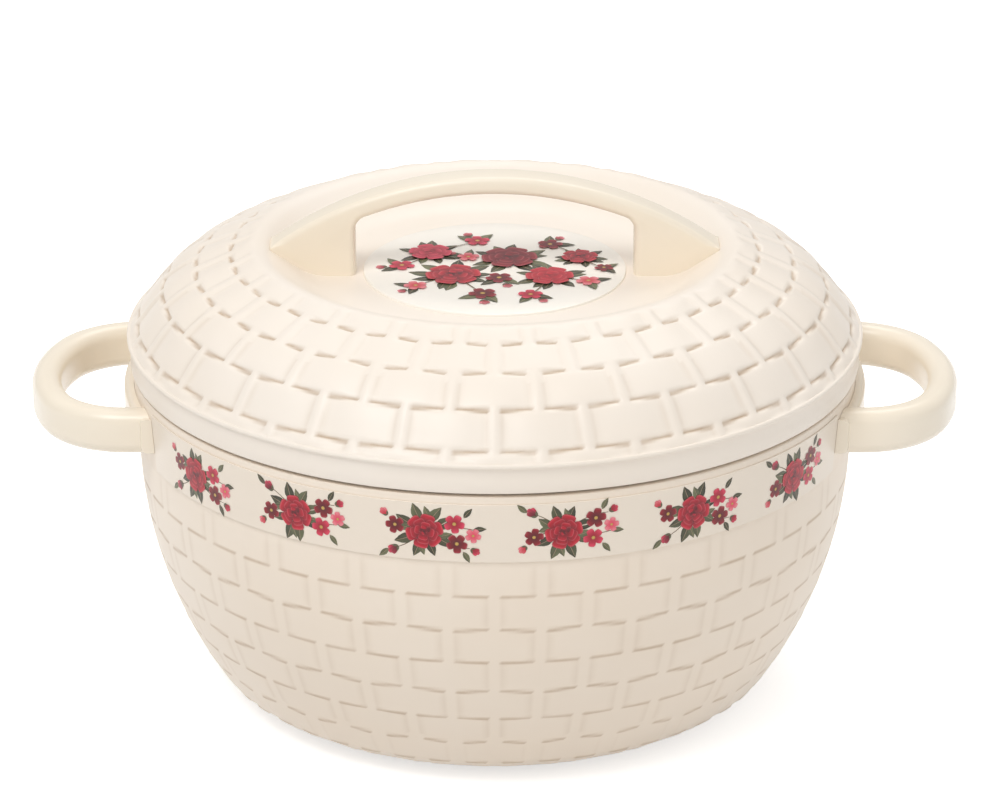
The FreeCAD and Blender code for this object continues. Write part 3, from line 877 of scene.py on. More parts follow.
class SharedEffects:
    """Node groups that several finishes use, each built once."""

    def __init__(self) -> None:
        """Builds the groups."""
        self.grain = self.moulded_grain()
        self.drift = self.tone_drift()
        self.brushed = self.turned_brushing()
        # The last group paints shade into the weave's grooves
        self.crevice_shade_group = self.painted_crevice_shade()

    @staticmethod
    def moulded_grain() -> bpy.types.NodeTree:
        """Fine texture that a mould leaves.

        Returns:
            A group that puts out a mask and a normal.
        """
        sketch, given, result = new_group(
            "moulded_grain",
            {
                "Scale": ("NodeSocketFloat", 900.0),
                "Strength": ("NodeSocketFloat", 0.1),
                "Distance": ("NodeSocketFloat", 0.0001),
            },
            {"Mask": "NodeSocketFloat", "Normal": "NodeSocketVector"},
        )
        place = sketch.add("ShaderNodeTexCoord").outputs["Object"]
        fine = noise(sketch, place, given.outputs["Scale"], 4.0, 0.6)
        soft = noise(sketch, place, sketch.math("MULTIPLY", given.outputs["Scale"], 0.11), 3.0, 0.5)
        height = sketch.math("ADD", sketch.math("MULTIPLY", fine, 0.45), sketch.math("MULTIPLY", soft, 0.55))
        relief = {key: given.outputs[key] for key in ("Strength", "Distance")}
        bump = sketch.add("ShaderNodeBump", {**relief, "Height": height})
        sketch.tree.links.new(height, result.inputs["Mask"])
        sketch.tree.links.new(bump.outputs[0], result.inputs["Normal"])
        return sketch.tree

    @staticmethod
    def tone_drift() -> bpy.types.NodeTree:
        """Slow change of tone over a moulding, with a few flow streaks.

        Returns:
            A group that puts out a colour.
        """
        sketch, given, result = new_group(
            "tone_drift",
            {
                "Colour": ("NodeSocketColor", (1, 1, 1, 1)),
                "Warm": ("NodeSocketColor", (1, 1, 1, 1)),
                "Amount": ("NodeSocketFloat", 0.5),
            },
            {"Colour": "NodeSocketColor"},
        )
        place = sketch.add("ShaderNodeTexCoord").outputs["Object"]
        cloud = {"Vector": place, "Scale": 9.0, "Detail": 3.0, "Roughness": 0.55, "Distortion": 0.6}
        slow = sketch.add("ShaderNodeTexNoise", cloud).outputs[0]
        stretched = sketch.add("ShaderNodeMapping", {"Vector": place, "Scale": (14.0, 14.0, 90.0)})
        streak = noise(sketch, stretched.outputs[0], 1.0, 2.0, 0.5)
        both = sketch.math("ADD", sketch.math("MULTIPLY", slow, 0.75), sketch.math("MULTIPLY", streak, 0.25))
        clear = {"Value": both, "From Min": 0.35, "From Max": 0.65}
        shaped = sketch.add("ShaderNodeMapRange", clear).outputs[0]
        part = sketch.math("MULTIPLY", shaped, given.outputs["Amount"])
        tone = sketch.mix(part, given.outputs["Colour"], given.outputs["Warm"])
        sketch.tree.links.new(tone, result.inputs["Colour"])
        return sketch.tree

    @staticmethod
    def turned_brushing() -> bpy.types.NodeTree:
        """Fine rings that polishing on a lathe leaves.

        Returns:
            A group that puts out a mask and a normal.
        """
        sketch, given, result = new_group(
            "turned_brushing",
            {"Strength": ("NodeSocketFloat", 0.15)},
            {"Mask": "NodeSocketFloat", "Normal": "NodeSocketVector"},
        )
        place = sketch.add("ShaderNodeTexCoord").outputs["Object"]
        parts = sketch.add("ShaderNodeSeparateXYZ", {0: place})
        squares = [sketch.math("MULTIPLY", parts.outputs[i], parts.outputs[i]) for i in (0, 1)]
        radius = sketch.math("SQRT", sketch.math("ADD", squares[0], squares[1]))
        angle = sketch.math("ARCTAN2", parts.outputs[1], parts.outputs[0])
        stretches = ((radius, 5200.0), (parts.outputs[2], 5200.0), (angle, 1.6))
        axes = {i: sketch.math("MULTIPLY", value, times) for i, (value, times) in enumerate(stretches)}
        rings = sketch.add("ShaderNodeCombineXYZ", axes)
        lines = noise(sketch, rings.outputs[0], 1.0, 3.0, 0.7)
        relief = {"Strength": given.outputs["Strength"], "Distance": 0.00004, "Height": lines}
        bump = sketch.add("ShaderNodeBump", relief)
        sketch.tree.links.new(lines, result.inputs["Mask"])
        sketch.tree.links.new(bump.outputs[0], result.inputs["Normal"])
        return sketch.tree

    @staticmethod
    def painted_crevice_shade() -> bpy.types.NodeTree:
        """Uneven painted shade that grows where a mask is high.

        Returns:
            A group that puts out a mask.
        """
        sketch, given, result = new_group(
            "painted_crevice_shade",
            {"Cavity": ("NodeSocketFloat", 0.0), "Scale": ("NodeSocketFloat", 60.0)},
            {"Mask": "NodeSocketFloat"},
        )
        place = sketch.add("ShaderNodeTexCoord").outputs["Object"]
        patch = noise(sketch, place, given.outputs["Scale"], 5.0, 0.65)
        levels = {"Value": patch, "From Min": 0.3, "From Max": 0.7, "To Min": 0.55, "To Max": 1.0}
        uneven = sketch.add("ShaderNodeMapRange", levels).outputs[0]
        mask = sketch.math("MULTIPLY", given.outputs["Cavity"], uneven)
        sketch.tree.links.new(mask, result.inputs["Mask"])
        return sketch.tree


def placed_group(
    sketch: NodeSketch, group: bpy.types.NodeTree, values: dict[str, object]
) -> bpy.types.Node:
    """Node group placed in a material with its own values.

    Args:
        sketch: sketch of the material's tree.
        group: the group.
        values: value or output socket of each input, by name.

    Returns:
        The group's node.
    """
    node = sketch.add("ShaderNodeGroup", node_tree=group)
    for key, value in values.items():
        if isinstance(value, bpy.types.NodeSocket):
            sketch.tree.links.new(value, node.inputs[key])
        else:
            node.inputs[key].default_value = value
    return node


def started_material(name: str) -> tuple[bpy.types.Material, NodeSketch, bpy.types.Node]:
    """Material with a lone Principled shader.

    Args:
        name: its name.

    Returns:
        The material, a sketch of its tree and the shader node.
    """
    material = bpy.data.materials.new(name)
    material.use_nodes = True
    tree = material.node_tree
    tree.nodes.clear()
    sketch = NodeSketch(tree)
    shader = sketch.add("ShaderNodeBsdfPrincipled")
    sketch.add("ShaderNodeOutputMaterial", {"Surface": shader.outputs[0]})
    return material, sketch, shader


@dataclass(frozen=True)
class MouldedPlastic:
    """Ivory polypropylene with a moulded grain, a slow drift of tone and painted shade in its grooves."""

    name: str
    colour: Colour
    warm: Colour
    grooved: bool = False
    roughness: float = 0.42
    roughness_swing: float = 0.055
    grain_scale: float = 900.0
    grain_strength: float = 0.12
    drift_amount: float = 0.6
    groove_roughness: float = 0.18

    def build(self, effects: SharedEffects) -> bpy.types.Material:
        """Material of this finish.

        Args:
            effects: shared node groups.

        Returns:
            The material.
        """
        material, sketch, shader = started_material(self.name)
        tree = sketch.tree
        tones = {"Colour": rgba(self.colour), "Warm": rgba(self.warm), "Amount": self.drift_amount}
        colour = placed_group(sketch, effects.drift, tones).outputs[0]
        relief = {"Scale": self.grain_scale, "Strength": self.grain_strength}
        grain = placed_group(sketch, effects.grain, relief)
        low, high = self.roughness - self.roughness_swing, self.roughness + self.roughness_swing
        roughness = sketch.spread(grain.outputs["Mask"], low, high)
        if self.grooved:
            # Painted shade: the weave's grooves darken towards GROOVE_SHADE where the cavity mask is high,
            # and get rougher there
            cavity = sketch.add("ShaderNodeAttribute", attribute_name="cavity").outputs["Fac"]
            painted_shade = placed_group(sketch, effects.crevice_shade_group, {"Cavity": cavity}).outputs[0]
            colour = sketch.mix(painted_shade, colour, rgba(GROOVE_SHADE))
            duller = sketch.math("MULTIPLY", painted_shade, self.groove_roughness)
            roughness = sketch.math("ADD", roughness, duller)
        tree.links.new(colour, shader.inputs["Base Color"])
        tree.links.new(roughness, shader.inputs["Roughness"])
        if self.grain_strength > 0:
            tree.links.new(grain.outputs["Normal"], shader.inputs["Normal"])
        shader.inputs["IOR"].default_value = 1.49
        return material


@dataclass(frozen=True)
class BrushedSteel:
    """Stainless steel with fine turned lines and faint marks of use."""

    name: str
    colour: Colour
    roughness: float
    brushing: float

    def build(self, effects: SharedEffects) -> bpy.types.Material:
        """Material of this finish.

        Args:
            effects: shared node groups.

        Returns:
            The material.
        """
        material, sketch, shader = started_material(self.name)
        tree = sketch.tree
        lines = placed_group(sketch, effects.brushed, {"Strength": self.brushing})
        tones = {"Colour": rgba(self.colour), "Warm": rgba(mixed(self.colour, STEEL_SHADE, 0.25))}
        tree.links.new(placed_group(sketch, effects.drift, tones).outputs[0], shader.inputs["Base Color"])
        roughness = sketch.spread(lines.outputs["Mask"], self.roughness - 0.07, self.roughness + 0.1)
        tree.links.new(roughness, shader.inputs["Roughness"])
        tree.links.new(lines.outputs["Normal"], shader.inputs["Normal"])
        shader.inputs["Metallic"].default_value = 1.0
        return material


@dataclass(frozen=True)
class PrintedFilm:
    """Glossy white film, or the ink on it where inked is set."""

    name: str
    colour: Colour
    roughness: float
    inked: bool = False
    grain_scale: float = 1500.0
    grain_strength: float = 0.05
    mottle_scale: float = 700.0
    bare_share: float = 0.03

    def build(self, effects: SharedEffects) -> bpy.types.Material:
        """Material of this finish.

        Args:
            effects: shared node groups.

        Returns:
            The material.
        """
        material, sketch, shader = started_material(self.name)
        tree = sketch.tree
        relief = {"Scale": self.grain_scale, "Strength": self.grain_strength}
        grain = placed_group(sketch, effects.grain, relief)
        if self.inked:
            ink = sketch.add("ShaderNodeAttribute", attribute_name="ink").outputs["Color"]
            place = sketch.add("ShaderNodeTexCoord").outputs["Object"]
            mottle = noise(sketch, place, self.mottle_scale, 4.0, 0.6)
            colour = sketch.mix(sketch.spread(mottle, 0.0, self.bare_share), ink, rgba(self.colour))
        else:
            tones = {"Colour": rgba(self.colour), "Warm": rgba(mixed(self.colour, FILM_TAN, 0.35))}
            colour = placed_group(sketch, effects.drift, tones).outputs[0]
        tree.links.new(colour, shader.inputs["Base Color"])
        roughness = sketch.spread(grain.outputs["Mask"], self.roughness - 0.05, self.roughness + 0.08)
        tree.links.new(roughness, shader.inputs["Roughness"])
        tree.links.new(grain.outputs["Normal"], shader.inputs["Normal"])
        shader.inputs["IOR"].default_value = 1.42 if self.inked else 1.5
        return material


@dataclass(frozen=True)
class RigidFoam:
    """Yellow polyurethane foam with open cells at its skin."""

    name: str = "insulation_foam"
    cell_scale: float = 900.0

    def build(self) -> bpy.types.Material:
        """Material of this finish.

        Returns:
            The material.
        """
        material, sketch, shader = started_material(self.name)
        tree = sketch.tree
        place = sketch.add("ShaderNodeTexCoord").outputs["Object"]
        cells = sketch.add("ShaderNodeTexVoronoi", {"Vector": place, "Scale": self.cell_scale})
        pits = cells.outputs["Distance"]
        bump = sketch.add("ShaderNodeBump", {"Strength": 0.6, "Distance": 0.0004, "Height": pits})
        colour = sketch.mix(sketch.spread(pits, 0.0, 0.5), rgba(FOAM_YELLOW), rgba(FOAM_SHADE))
        tree.links.new(colour, shader.inputs["Base Color"])
        tree.links.new(bump.outputs[0], shader.inputs["Normal"])
        shader.inputs["Roughness"].default_value = 0.9
        return material


@dataclass
class Finishes:
    """Every material of the casserole: one for each slot, and three that share a slot."""

    by_slot: dict[Slot, bpy.types.Material] = field(default_factory=dict)
    ink: bpy.types.Material | None = None
    band_film: bpy.types.Material | None = None
    body_ivory: bpy.types.Material | None = None

    def build(self) -> None:
        """Builds all the materials."""
        effects = SharedEffects()
        ring = MouldedPlastic(
            "plain_ivory", RING_IVORY, LID_WARM, roughness=0.38, grain_scale=1100.0, grain_strength=0.10
        )
        handle = MouldedPlastic(
            "handle_ivory",
            HANDLE_IVORY,
            HANDLE_WARM,
            roughness=0.27,
            roughness_swing=0.02,
            grain_scale=12.0,
            grain_strength=0.0,
        )
        finishes = {
            Slot.WOVEN: MouldedPlastic("woven_ivory", LID_IVORY, LID_WARM, grooved=True),
            Slot.PLAIN: ring,
            Slot.HANDLE: handle,
            Slot.FILM: PrintedFilm("printed_film", FILM_WHITE, roughness=0.30),
            Slot.BOWL: BrushedSteel("bowl_steel", BOWL_GREY, roughness=0.26, brushing=0.18),
            Slot.SCREW: BrushedSteel("screw_steel", SCREW_GREY, roughness=0.34, brushing=0.10),
        }
        self.by_slot = {slot: finish.build(effects) for slot, finish in finishes.items()}
        self.by_slot[Slot.FOAM] = RigidFoam().build()
        self.ink = PrintedFilm("printed_ink", FILM_WHITE, roughness=0.32, inked=True).build(effects)
        self.band_film = PrintedFilm("printed_band", BAND_WHITE, roughness=0.32).build(effects)
        belly = MouldedPlastic("woven_ivory_body", BODY_IVORY, BODY_WARM, grooved=True)
        self.body_ivory = belly.build(effects)

    def dress(self, piece: bpy.types.Object, slot: Slot) -> None:
        """Gives a piece the finish of a slot.

        Args:
            piece: object to dress.
            slot: its slot.
        """
        self.dress_with(piece, self.by_slot[slot], slot)

    @staticmethod
    def dress_with(piece: bpy.types.Object, material: bpy.types.Material, slot: Slot) -> None:
        """Gives a piece a material of its own.

        Args:
            piece: object to dress.
            material: its material.
            slot: its slot; not used.
        """
        piece.data.materials.clear()
        piece.data.materials.append(material)


# Sub-assemblies


@dataclass
class BodyShell:
    """Outer bowl: smooth band, woven belly, base, foot ring, filling hole and screw bosses."""

    foot_radius: float = 73.0
    foot_ring_width: float = 6.0
    foot_height: float = 2.0
    foot_root_round: float = 0.6
    foot_round: float = 1.0
    base_corner_radius: float = 24.0
    belly_arc_radius: float = 150.0
    band_bottom_height: float = 92.0
    band_bottom_radius: float = 121.8
    top_height: float = 116.3
    top_radius: float = 123.4
    top_round: float = 0.5
    wall: float = 2.4
    fill_hole_radius: float = 8.0
    cap_seat_radius: float = 11.1
    cap_thickness: float = 1.2
    screw_span: float = 40.0
    screw_height: float = 104.8
    boss_radius: float = 5.2
    boss_length: float = 4.5
    segments: int = 600
    step: float = 0.95
    base_step: float = 12.0
    inside_step: float = 8.0
    rim_step: float = 9.0
    first_row: float = 11.2
    row_pitch: float = 12.7
    later_rows: int = 8
    fade_in: tuple[float, float] = (-0.2, 0.9)
    fade_out: tuple[float, float] = (88.0, 99.0)
    relief: WovenRelief = WovenRelief()

    @property
    def slope(self) -> float:
        """Outward lean of the smooth band."""
        return (self.top_radius - self.band_bottom_radius) / (self.top_height - self.band_bottom_height)

    def wall_points(self, inset: float, step: float) -> tuple[list[Point], list[Point]]:
        """Belly and corner of the wall, from the band down to the base.

        Args:
            inset: distance inwards from the outside.
            step: greatest distance between points.

        Returns:
            Points of the belly, then points of the corner.
        """
        belly = (self.band_bottom_radius - self.belly_arc_radius, self.band_bottom_height)
        corner_height = self.foot_height + self.base_corner_radius
        drop = self.band_bottom_height - corner_height
        gap = self.belly_arc_radius - self.base_corner_radius
        corner = (belly[0] + math.sqrt(gap ** 2 - drop ** 2), corner_height)
        turn = math.atan2(corner[1] - belly[1], corner[0] - belly[0])
        upper = arc_points(belly, self.belly_arc_radius - inset, 0.0, turn, step)
        lower = arc_points(corner, self.base_corner_radius - inset, turn, -math.pi / 2, step)
        return upper, lower

    def build(self, finishes: Finishes) -> bpy.types.Object:
        """Builds the shell and dresses it.

        Args:
            finishes: the materials.

        Returns:
            The piece.
        """
        belly, corner = self.wall_points(0.0, self.step)
        woven = without_repeats(belly + corner)
        outline = np.vstack([woven, without_repeats(self.plain_points(woven[-1][0]))])
        normals = -outline_normals(woven)
        normals[:, 0] = np.where(normals[:, 0] < 0, 0.0, normals[:, 0])
        arc = travelled(woven)
        rows = [0.0] + [self.first_row + self.row_pitch * i for i in range(self.later_rows + 1)]
        fade = (1 - smooth_step(arc, *self.fade_out)) * smooth_step(arc, *self.fade_in)
        wall = WovenWall(outline, woven, normals, fade, self.segments, self.relief)
        vertices, cavity = wall.displaced(arc, rows)
        faces = ring_faces(len(outline), self.segments)[:, ::-1]
        for side in (-1, 1):
            for end in (-1, 1):
                extra, quads = self.boss(side, end, len(vertices))
                vertices = np.vstack([vertices, extra])
                faces = np.vstack([faces, quads])
                cavity = np.concatenate([cavity, np.zeros(len(extra))])
        piece = add_mesh("outer_shell_woven", vertices, faces, WALL_ANGLE)
        store_colour(piece, "cavity", np.repeat(cavity[:, None], 3, axis=1))
        finishes.dress_with(piece, finishes.body_ivory, Slot.WOVEN)
        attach(piece, Body.BODY.value)
        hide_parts("outer_shell")
        return piece

    def plain_points(self, base_radius: float) -> list[Point]:
        """Outline of all that is smooth: the base, the foot ring, the inside and the band.

        Args:
            base_radius: where the base starts.

        Returns:
            Points from the base round to the bottom of the band.
        """
        ring_inner = self.foot_radius - self.foot_ring_width
        cap_floor = self.foot_height / 2 + self.cap_thickness
        base_inside = self.foot_height + self.wall
        base = blended(
            [
                (base_radius, self.foot_height, 0),
                (self.foot_radius, self.foot_height, self.foot_root_round),
                (self.foot_radius, 0, self.foot_round),
                (ring_inner, 0, self.foot_round),
                (ring_inner, self.foot_height, self.foot_root_round),
                (self.cap_seat_radius, self.foot_height, 0),
                (self.cap_seat_radius, cap_floor, 0),
                (self.fill_hole_radius, cap_floor, 0),
                (self.fill_hole_radius, base_inside, 0),
            ],
            self.base_step,
        )
        belly, corner = self.wall_points(self.wall, self.inside_step)
        rim = blended(
            [
                (self.band_bottom_radius - self.wall, self.band_bottom_height, 0),
                (self.top_radius - self.wall, self.top_height, 0),
                (self.top_radius, self.top_height, self.top_round),
                (self.band_bottom_radius, self.band_bottom_height, 0),
            ],
            self.rim_step,
        )
        return base[1:] + corner[::-1] + belly[::-1] + rim[1:-1]

    def boss(self, side: int, end: int, first: int) -> tuple[np.ndarray, np.ndarray]:
        """Round boss inside the wall, under one handle screw.

        Args:
            side: -1 for the left handle, 1 for the right.
            end: which of its two screws.
            first: number of the first new vertex.

        Returns:
            Vertices in metres and quads.
        """
        climb = self.screw_height - self.band_bottom_height
        inner = self.band_bottom_radius + self.slope * climb - self.wall
        reach = math.sqrt(inner ** 2 - (self.screw_span + self.boss_radius) ** 2)
        seat = Vector((side * reach, end * self.screw_span, self.screw_height))
        return cylinder_mesh(seat, Vector((side, 0, 0)), self.boss_radius, self.boss_length, first)


@dataclass
class LidShell:
    """Outer lid: skirt, lip, woven dome, crest and well."""

    skirt_radius: float = 124.0
    skirt_bottom: float = 117.5
    lip_radius: float = 125.0
    lip_height: float = 127.0
    lip_thickness: float = 1.6
    shoulder: Corner = (110.5, 146.0, 45.0)
    crest: Corner = (80.5, 159.2, 8.0)
    well: Corner = (62.0, 147.0, 18.0)
    wall: float = 2.2
    fill_hole_radius: float = 8.0
    cap_seat_radius: float = 11.1
    cap_thickness: float = 1.2
    skirt_rounds: tuple[float, float] = (0.4, 0.5)
    lip_root_round: float = 0.3
    lip_round: float = 0.6
    segments: int = 600
    step: float = 0.84
    well_step: float = 9.0
    skirt_step: float = 6.0
    inside_step: float = 4.0
    row_ends: tuple[float, ...] = (-9.0, 4.0, 18.0, 32.0, 45.0, 60.0)
    fade_in: tuple[float, float] = (0.2, 1.4)
    fade_out: tuple[float, float] = (0.4, 3.4)
    relief: WovenRelief = WovenRelief()

    def build(self, finishes: Finishes) -> bpy.types.Object:
        """Builds the shell and dresses it.

        Args:
            finishes: the materials.

        Returns:
            The piece.
        """
        dome = blended(
            [
                (self.skirt_radius, self.lip_height + self.lip_thickness / 2, 0),
                self.shoulder,
                self.crest,
                self.well,
                (self.cap_seat_radius, self.well[1], 0),
            ],
            self.step,
        )
        top = max(range(len(dome)), key=lambda i: dome[i][1])
        woven = without_repeats(dome[: top + 1])
        outline = np.vstack([woven, without_repeats(self.plain_points(dome[top:]))])
        arc = travelled(woven)
        fade = smooth_step(arc[-1] - arc, *self.fade_out) * smooth_step(arc, *self.fade_in)
        wall = WovenWall(outline, woven, -outline_normals(woven), fade, self.segments, self.relief)
        vertices, cavity = wall.displaced(arc, list(self.row_ends))
        faces = ring_faces(len(outline), self.segments)
        piece = add_mesh("lid_shell_woven", vertices, faces, WALL_ANGLE)
        store_colour(piece, "cavity", np.repeat(cavity[:, None], 3, axis=1))
        finishes.dress(piece, Slot.WOVEN)
        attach(piece, Body.LID.value)
        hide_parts("lid_shell")
        return piece

    def plain_points(self, inward: list[Point]) -> list[Point]:
        """Outline of all that is smooth: the well, the filling hole, the underside and the skirt.

        Args:
            inward: fine points from the crest's top in to the filling hole.

        Returns:
            Points from the crest round to the lip.
        """
        well = blended(
            [(*inward[0], 0)] + [(*p, 0) for p in inward[1::3]] + [(*inward[-1], 0)], self.well_step
        )
        cap_floor = self.well[1] - self.cap_thickness
        hole = [
            (self.cap_seat_radius, self.well[1]),
            (self.cap_seat_radius, cap_floor),
            (self.fill_hole_radius, cap_floor),
            (self.fill_hole_radius, self.well[1] - self.wall),
        ]
        lip_low = self.lip_height - self.lip_thickness / 2
        lip_top = self.lip_height + self.lip_thickness / 2
        skirt = blended(
            [
                (self.skirt_radius - self.wall, self.skirt_bottom, self.skirt_rounds[0]),
                (self.skirt_radius, self.skirt_bottom, self.skirt_rounds[1]),
                (self.skirt_radius, lip_low, self.lip_root_round),
                (self.lip_radius, lip_low, self.lip_round),
                (self.lip_radius, lip_top, self.lip_round),
                (self.skirt_radius, lip_top, 0),
            ],
            self.skirt_step,
        )
        return well[1:] + hole + self.inside_points() + skirt[:-1]

    def inside_points(self) -> list[Point]:
        """Underside of the lid's wall.

        Returns:
            Points from the filling hole out to the skirt.
        """
        outside = blended(
            [
                (self.fill_hole_radius, self.well[1], 0),
                self.well,
                self.crest,
                self.shoulder,
                (self.skirt_radius, self.lip_height + self.lip_thickness / 2, 0),
                (self.skirt_radius, self.skirt_bottom, 0),
            ],
            self.inside_step,
        )
        points = without_repeats(outside)
        moved = points - outline_normals(points) * self.wall
        moved = [tuple(p) for p in moved if p[0] <= self.skirt_radius - self.wall + SAME_POINT / 100]
        return [p for p in moved if p[1] > self.skirt_bottom + 1.0]


@dataclass
class PrintedBand:
    """Printed film round one side of the smooth band, with its sprigs of roses."""

    name: str
    node: str
    facing: float
    seed: int
    bottom: float = 93.2
    height: float = 20.5
    inner_low: float = 121.979
    slope: float = 0.06584
    thickness: float = 0.4
    half_angle: float = 67.0
    edge_height: float = 0.15
    edge_inset: float = 0.12
    segments: int = 380
    sprigs: int = 6
    sprig_pitch: float = 21.0
    ink_clearance: float = 0.02
    layer_lift: float = 0.0012

    def surface(self, rows: np.ndarray) -> np.ndarray:
        """Places flat rows of x, y and layer on the film, x running to the right as seen.

        Args:
            rows: (n, 3) array in millimetres, the third column being a layer number.

        Returns:
            (n, 3) coordinates in metres.
        """
        height = rows[:, 1]
        radius = self.inner_low + self.slope * height + self.thickness
        turn = math.radians(self.facing) + rows[:, 0] / radius
        out = radius + self.ink_clearance + rows[:, 2] * self.layer_lift
        return np.stack([out * np.cos(turn), out * np.sin(turn), self.bottom + height], axis=1) * MM

    def build(self, finishes: Finishes) -> None:
        """Builds the film and its print.

        Args:
            finishes: the materials.
        """
        spread = np.linspace(-self.half_angle, self.half_angle, self.segments + 1)
        angles = np.radians(spread + self.facing)
        heights = np.array([0.0, self.edge_height, self.height - self.edge_height, self.height])
        inset = np.array([self.edge_inset, 0.0, 0.0, self.edge_inset])
        outside = self.inner_low + self.slope * heights + self.thickness - inset
        inside = self.inner_low + self.slope * heights[[0, 3]]
        radii = np.concatenate([outside, inside[::-1]])
        levels = np.concatenate([heights, heights[[3, 0]]]) + self.bottom
        x = radii[:, None] * np.cos(angles)
        y = radii[:, None] * np.sin(angles)
        z = np.repeat(levels[:, None], len(angles), axis=1)
        vertices = np.stack([x, y, z], axis=-1).reshape(-1, 3) * MM
        count = len(angles)
        rings = len(radii)
        quads = []
        for ring in range(rings):
            here, after = ring * count, (ring + 1) % rings * count
            quads += [(here + i, here + i + 1, after + i + 1, after + i) for i in range(count - 1)]
        first = tuple(ring * count for ring in range(rings))
        last = tuple(ring * count + count - 1 for ring in reversed(range(rings)))
        film = add_mesh(f"{self.name}_film", vertices, quads + [first, last], FILM_ANGLE)
        finishes.dress_with(film, finishes.band_film, Slot.FILM)
        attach(film, Body.BODY.value)
        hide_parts(self.node)
        print_piece = self.draw().made(f"{self.name}_print", self.surface)
        finishes.dress_with(print_piece, finishes.ink, Slot.FILM)
        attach(print_piece, Body.BODY.value)

    def draw(self) -> InkSheet:
        """Row of rose sprigs, each a little different.

        Returns:
            The sheet with all of them.
        """
        chance = random.Random(self.seed)
        sheet = InkSheet()
        arc_per_degree = math.radians(1) * (self.inner_low + self.height / 2 * self.slope)
        for i in range(self.sprigs):
            middle = (i - (self.sprigs - 1) / 2) * self.sprig_pitch * arc_per_degree
            sheet.layer = 0
            self.sprig(sheet, middle + chance.uniform(-1.0, 1.0), chance, i % 2 == 0)
        return sheet

    def sprig(self, sheet: InkSheet, x: float, chance: random.Random, rising: bool) -> None:
        """One sprig: an open rose with leaves, a bud to one side and small blossoms to the other.

        Args:
            sheet: sheet that it is drawn on.
            x: its middle along the film.
            chance: source of its small differences.
            rising: tilts its twigs up to the right, or down.
        """
        y = self.height / 2 + chance.uniform(-0.5, 0.5)
        lift = 1.0 if rising else -1.0
        rose = (x, y + 0.3 * lift)
        for start, end, climb, bow, width in SPRIG_STEMS:
            sheet.stem((x + start, y), (x + end, y + climb * lift), bow * lift, width)
        for number, heading in enumerate(SPRIG_HEADINGS):
            base = sheet.placed(rose, heading, 3.6, 0.0)
            length = chance.uniform(5.6, 7.4)
            turn = heading + chance.uniform(-0.25, 0.25)
            sheet.leaf(base, turn, length, length * 0.5, chance.choice((0.0, 0.2, 0.55)))
            if number % 2:
                tip = sheet.placed(base, heading, 1.0, 0.0)
                sheet.leaf(tip, heading + 0.8, length * 0.75, length * 0.34, 0.8)
        for reach, climb, heading in SPRIG_LEAVES:
            place = (x + reach, y + climb * lift)
            sheet.leaf(place, heading * lift, 4.4, 1.9, chance.choice((0.1, 0.7)))
        sheet.blossom((x - 9.6, y + 1.8 * lift), 3.3, chance.uniform(0, 1.2), MAROON, CRIMSON)
        sheet.bud((x - 12.0, y + 4.8 * lift), math.pi - 0.8 * lift, 3.4, ROSE_RED, BLUSH)
        sheet.bud((x - 8.6, y - 5.6 * lift), math.pi + 0.7 * lift, 4.2, MAROON, ROSE_PINK)
        sheet.blossom((x + 9.6, y + 3.4 * lift), 3.5, chance.uniform(0, 1.2), CRIMSON, ROSE_PINK)
        sheet.blossom((x + 10.4, y - 3.6 * lift), 3.6, chance.uniform(0, 1.2), MAROON, CRIMSON)
        sheet.blossom((x + 15.6, y - 0.6 * lift), 2.7, chance.uniform(0, 1.2), ROSE_PINK, BLUSH)
        sheet.bud((x + 14.8, y - 5.4 * lift), -0.5 * lift, 3.4, CRIMSON, ROSE_PINK)
        turn = chance.uniform(0, 1.0)
        sheet.rose(rose, 6.3, turn, MAROON, mixed(ROSE_RED, ROSE_PINK, chance.uniform(0.0, 0.15)))


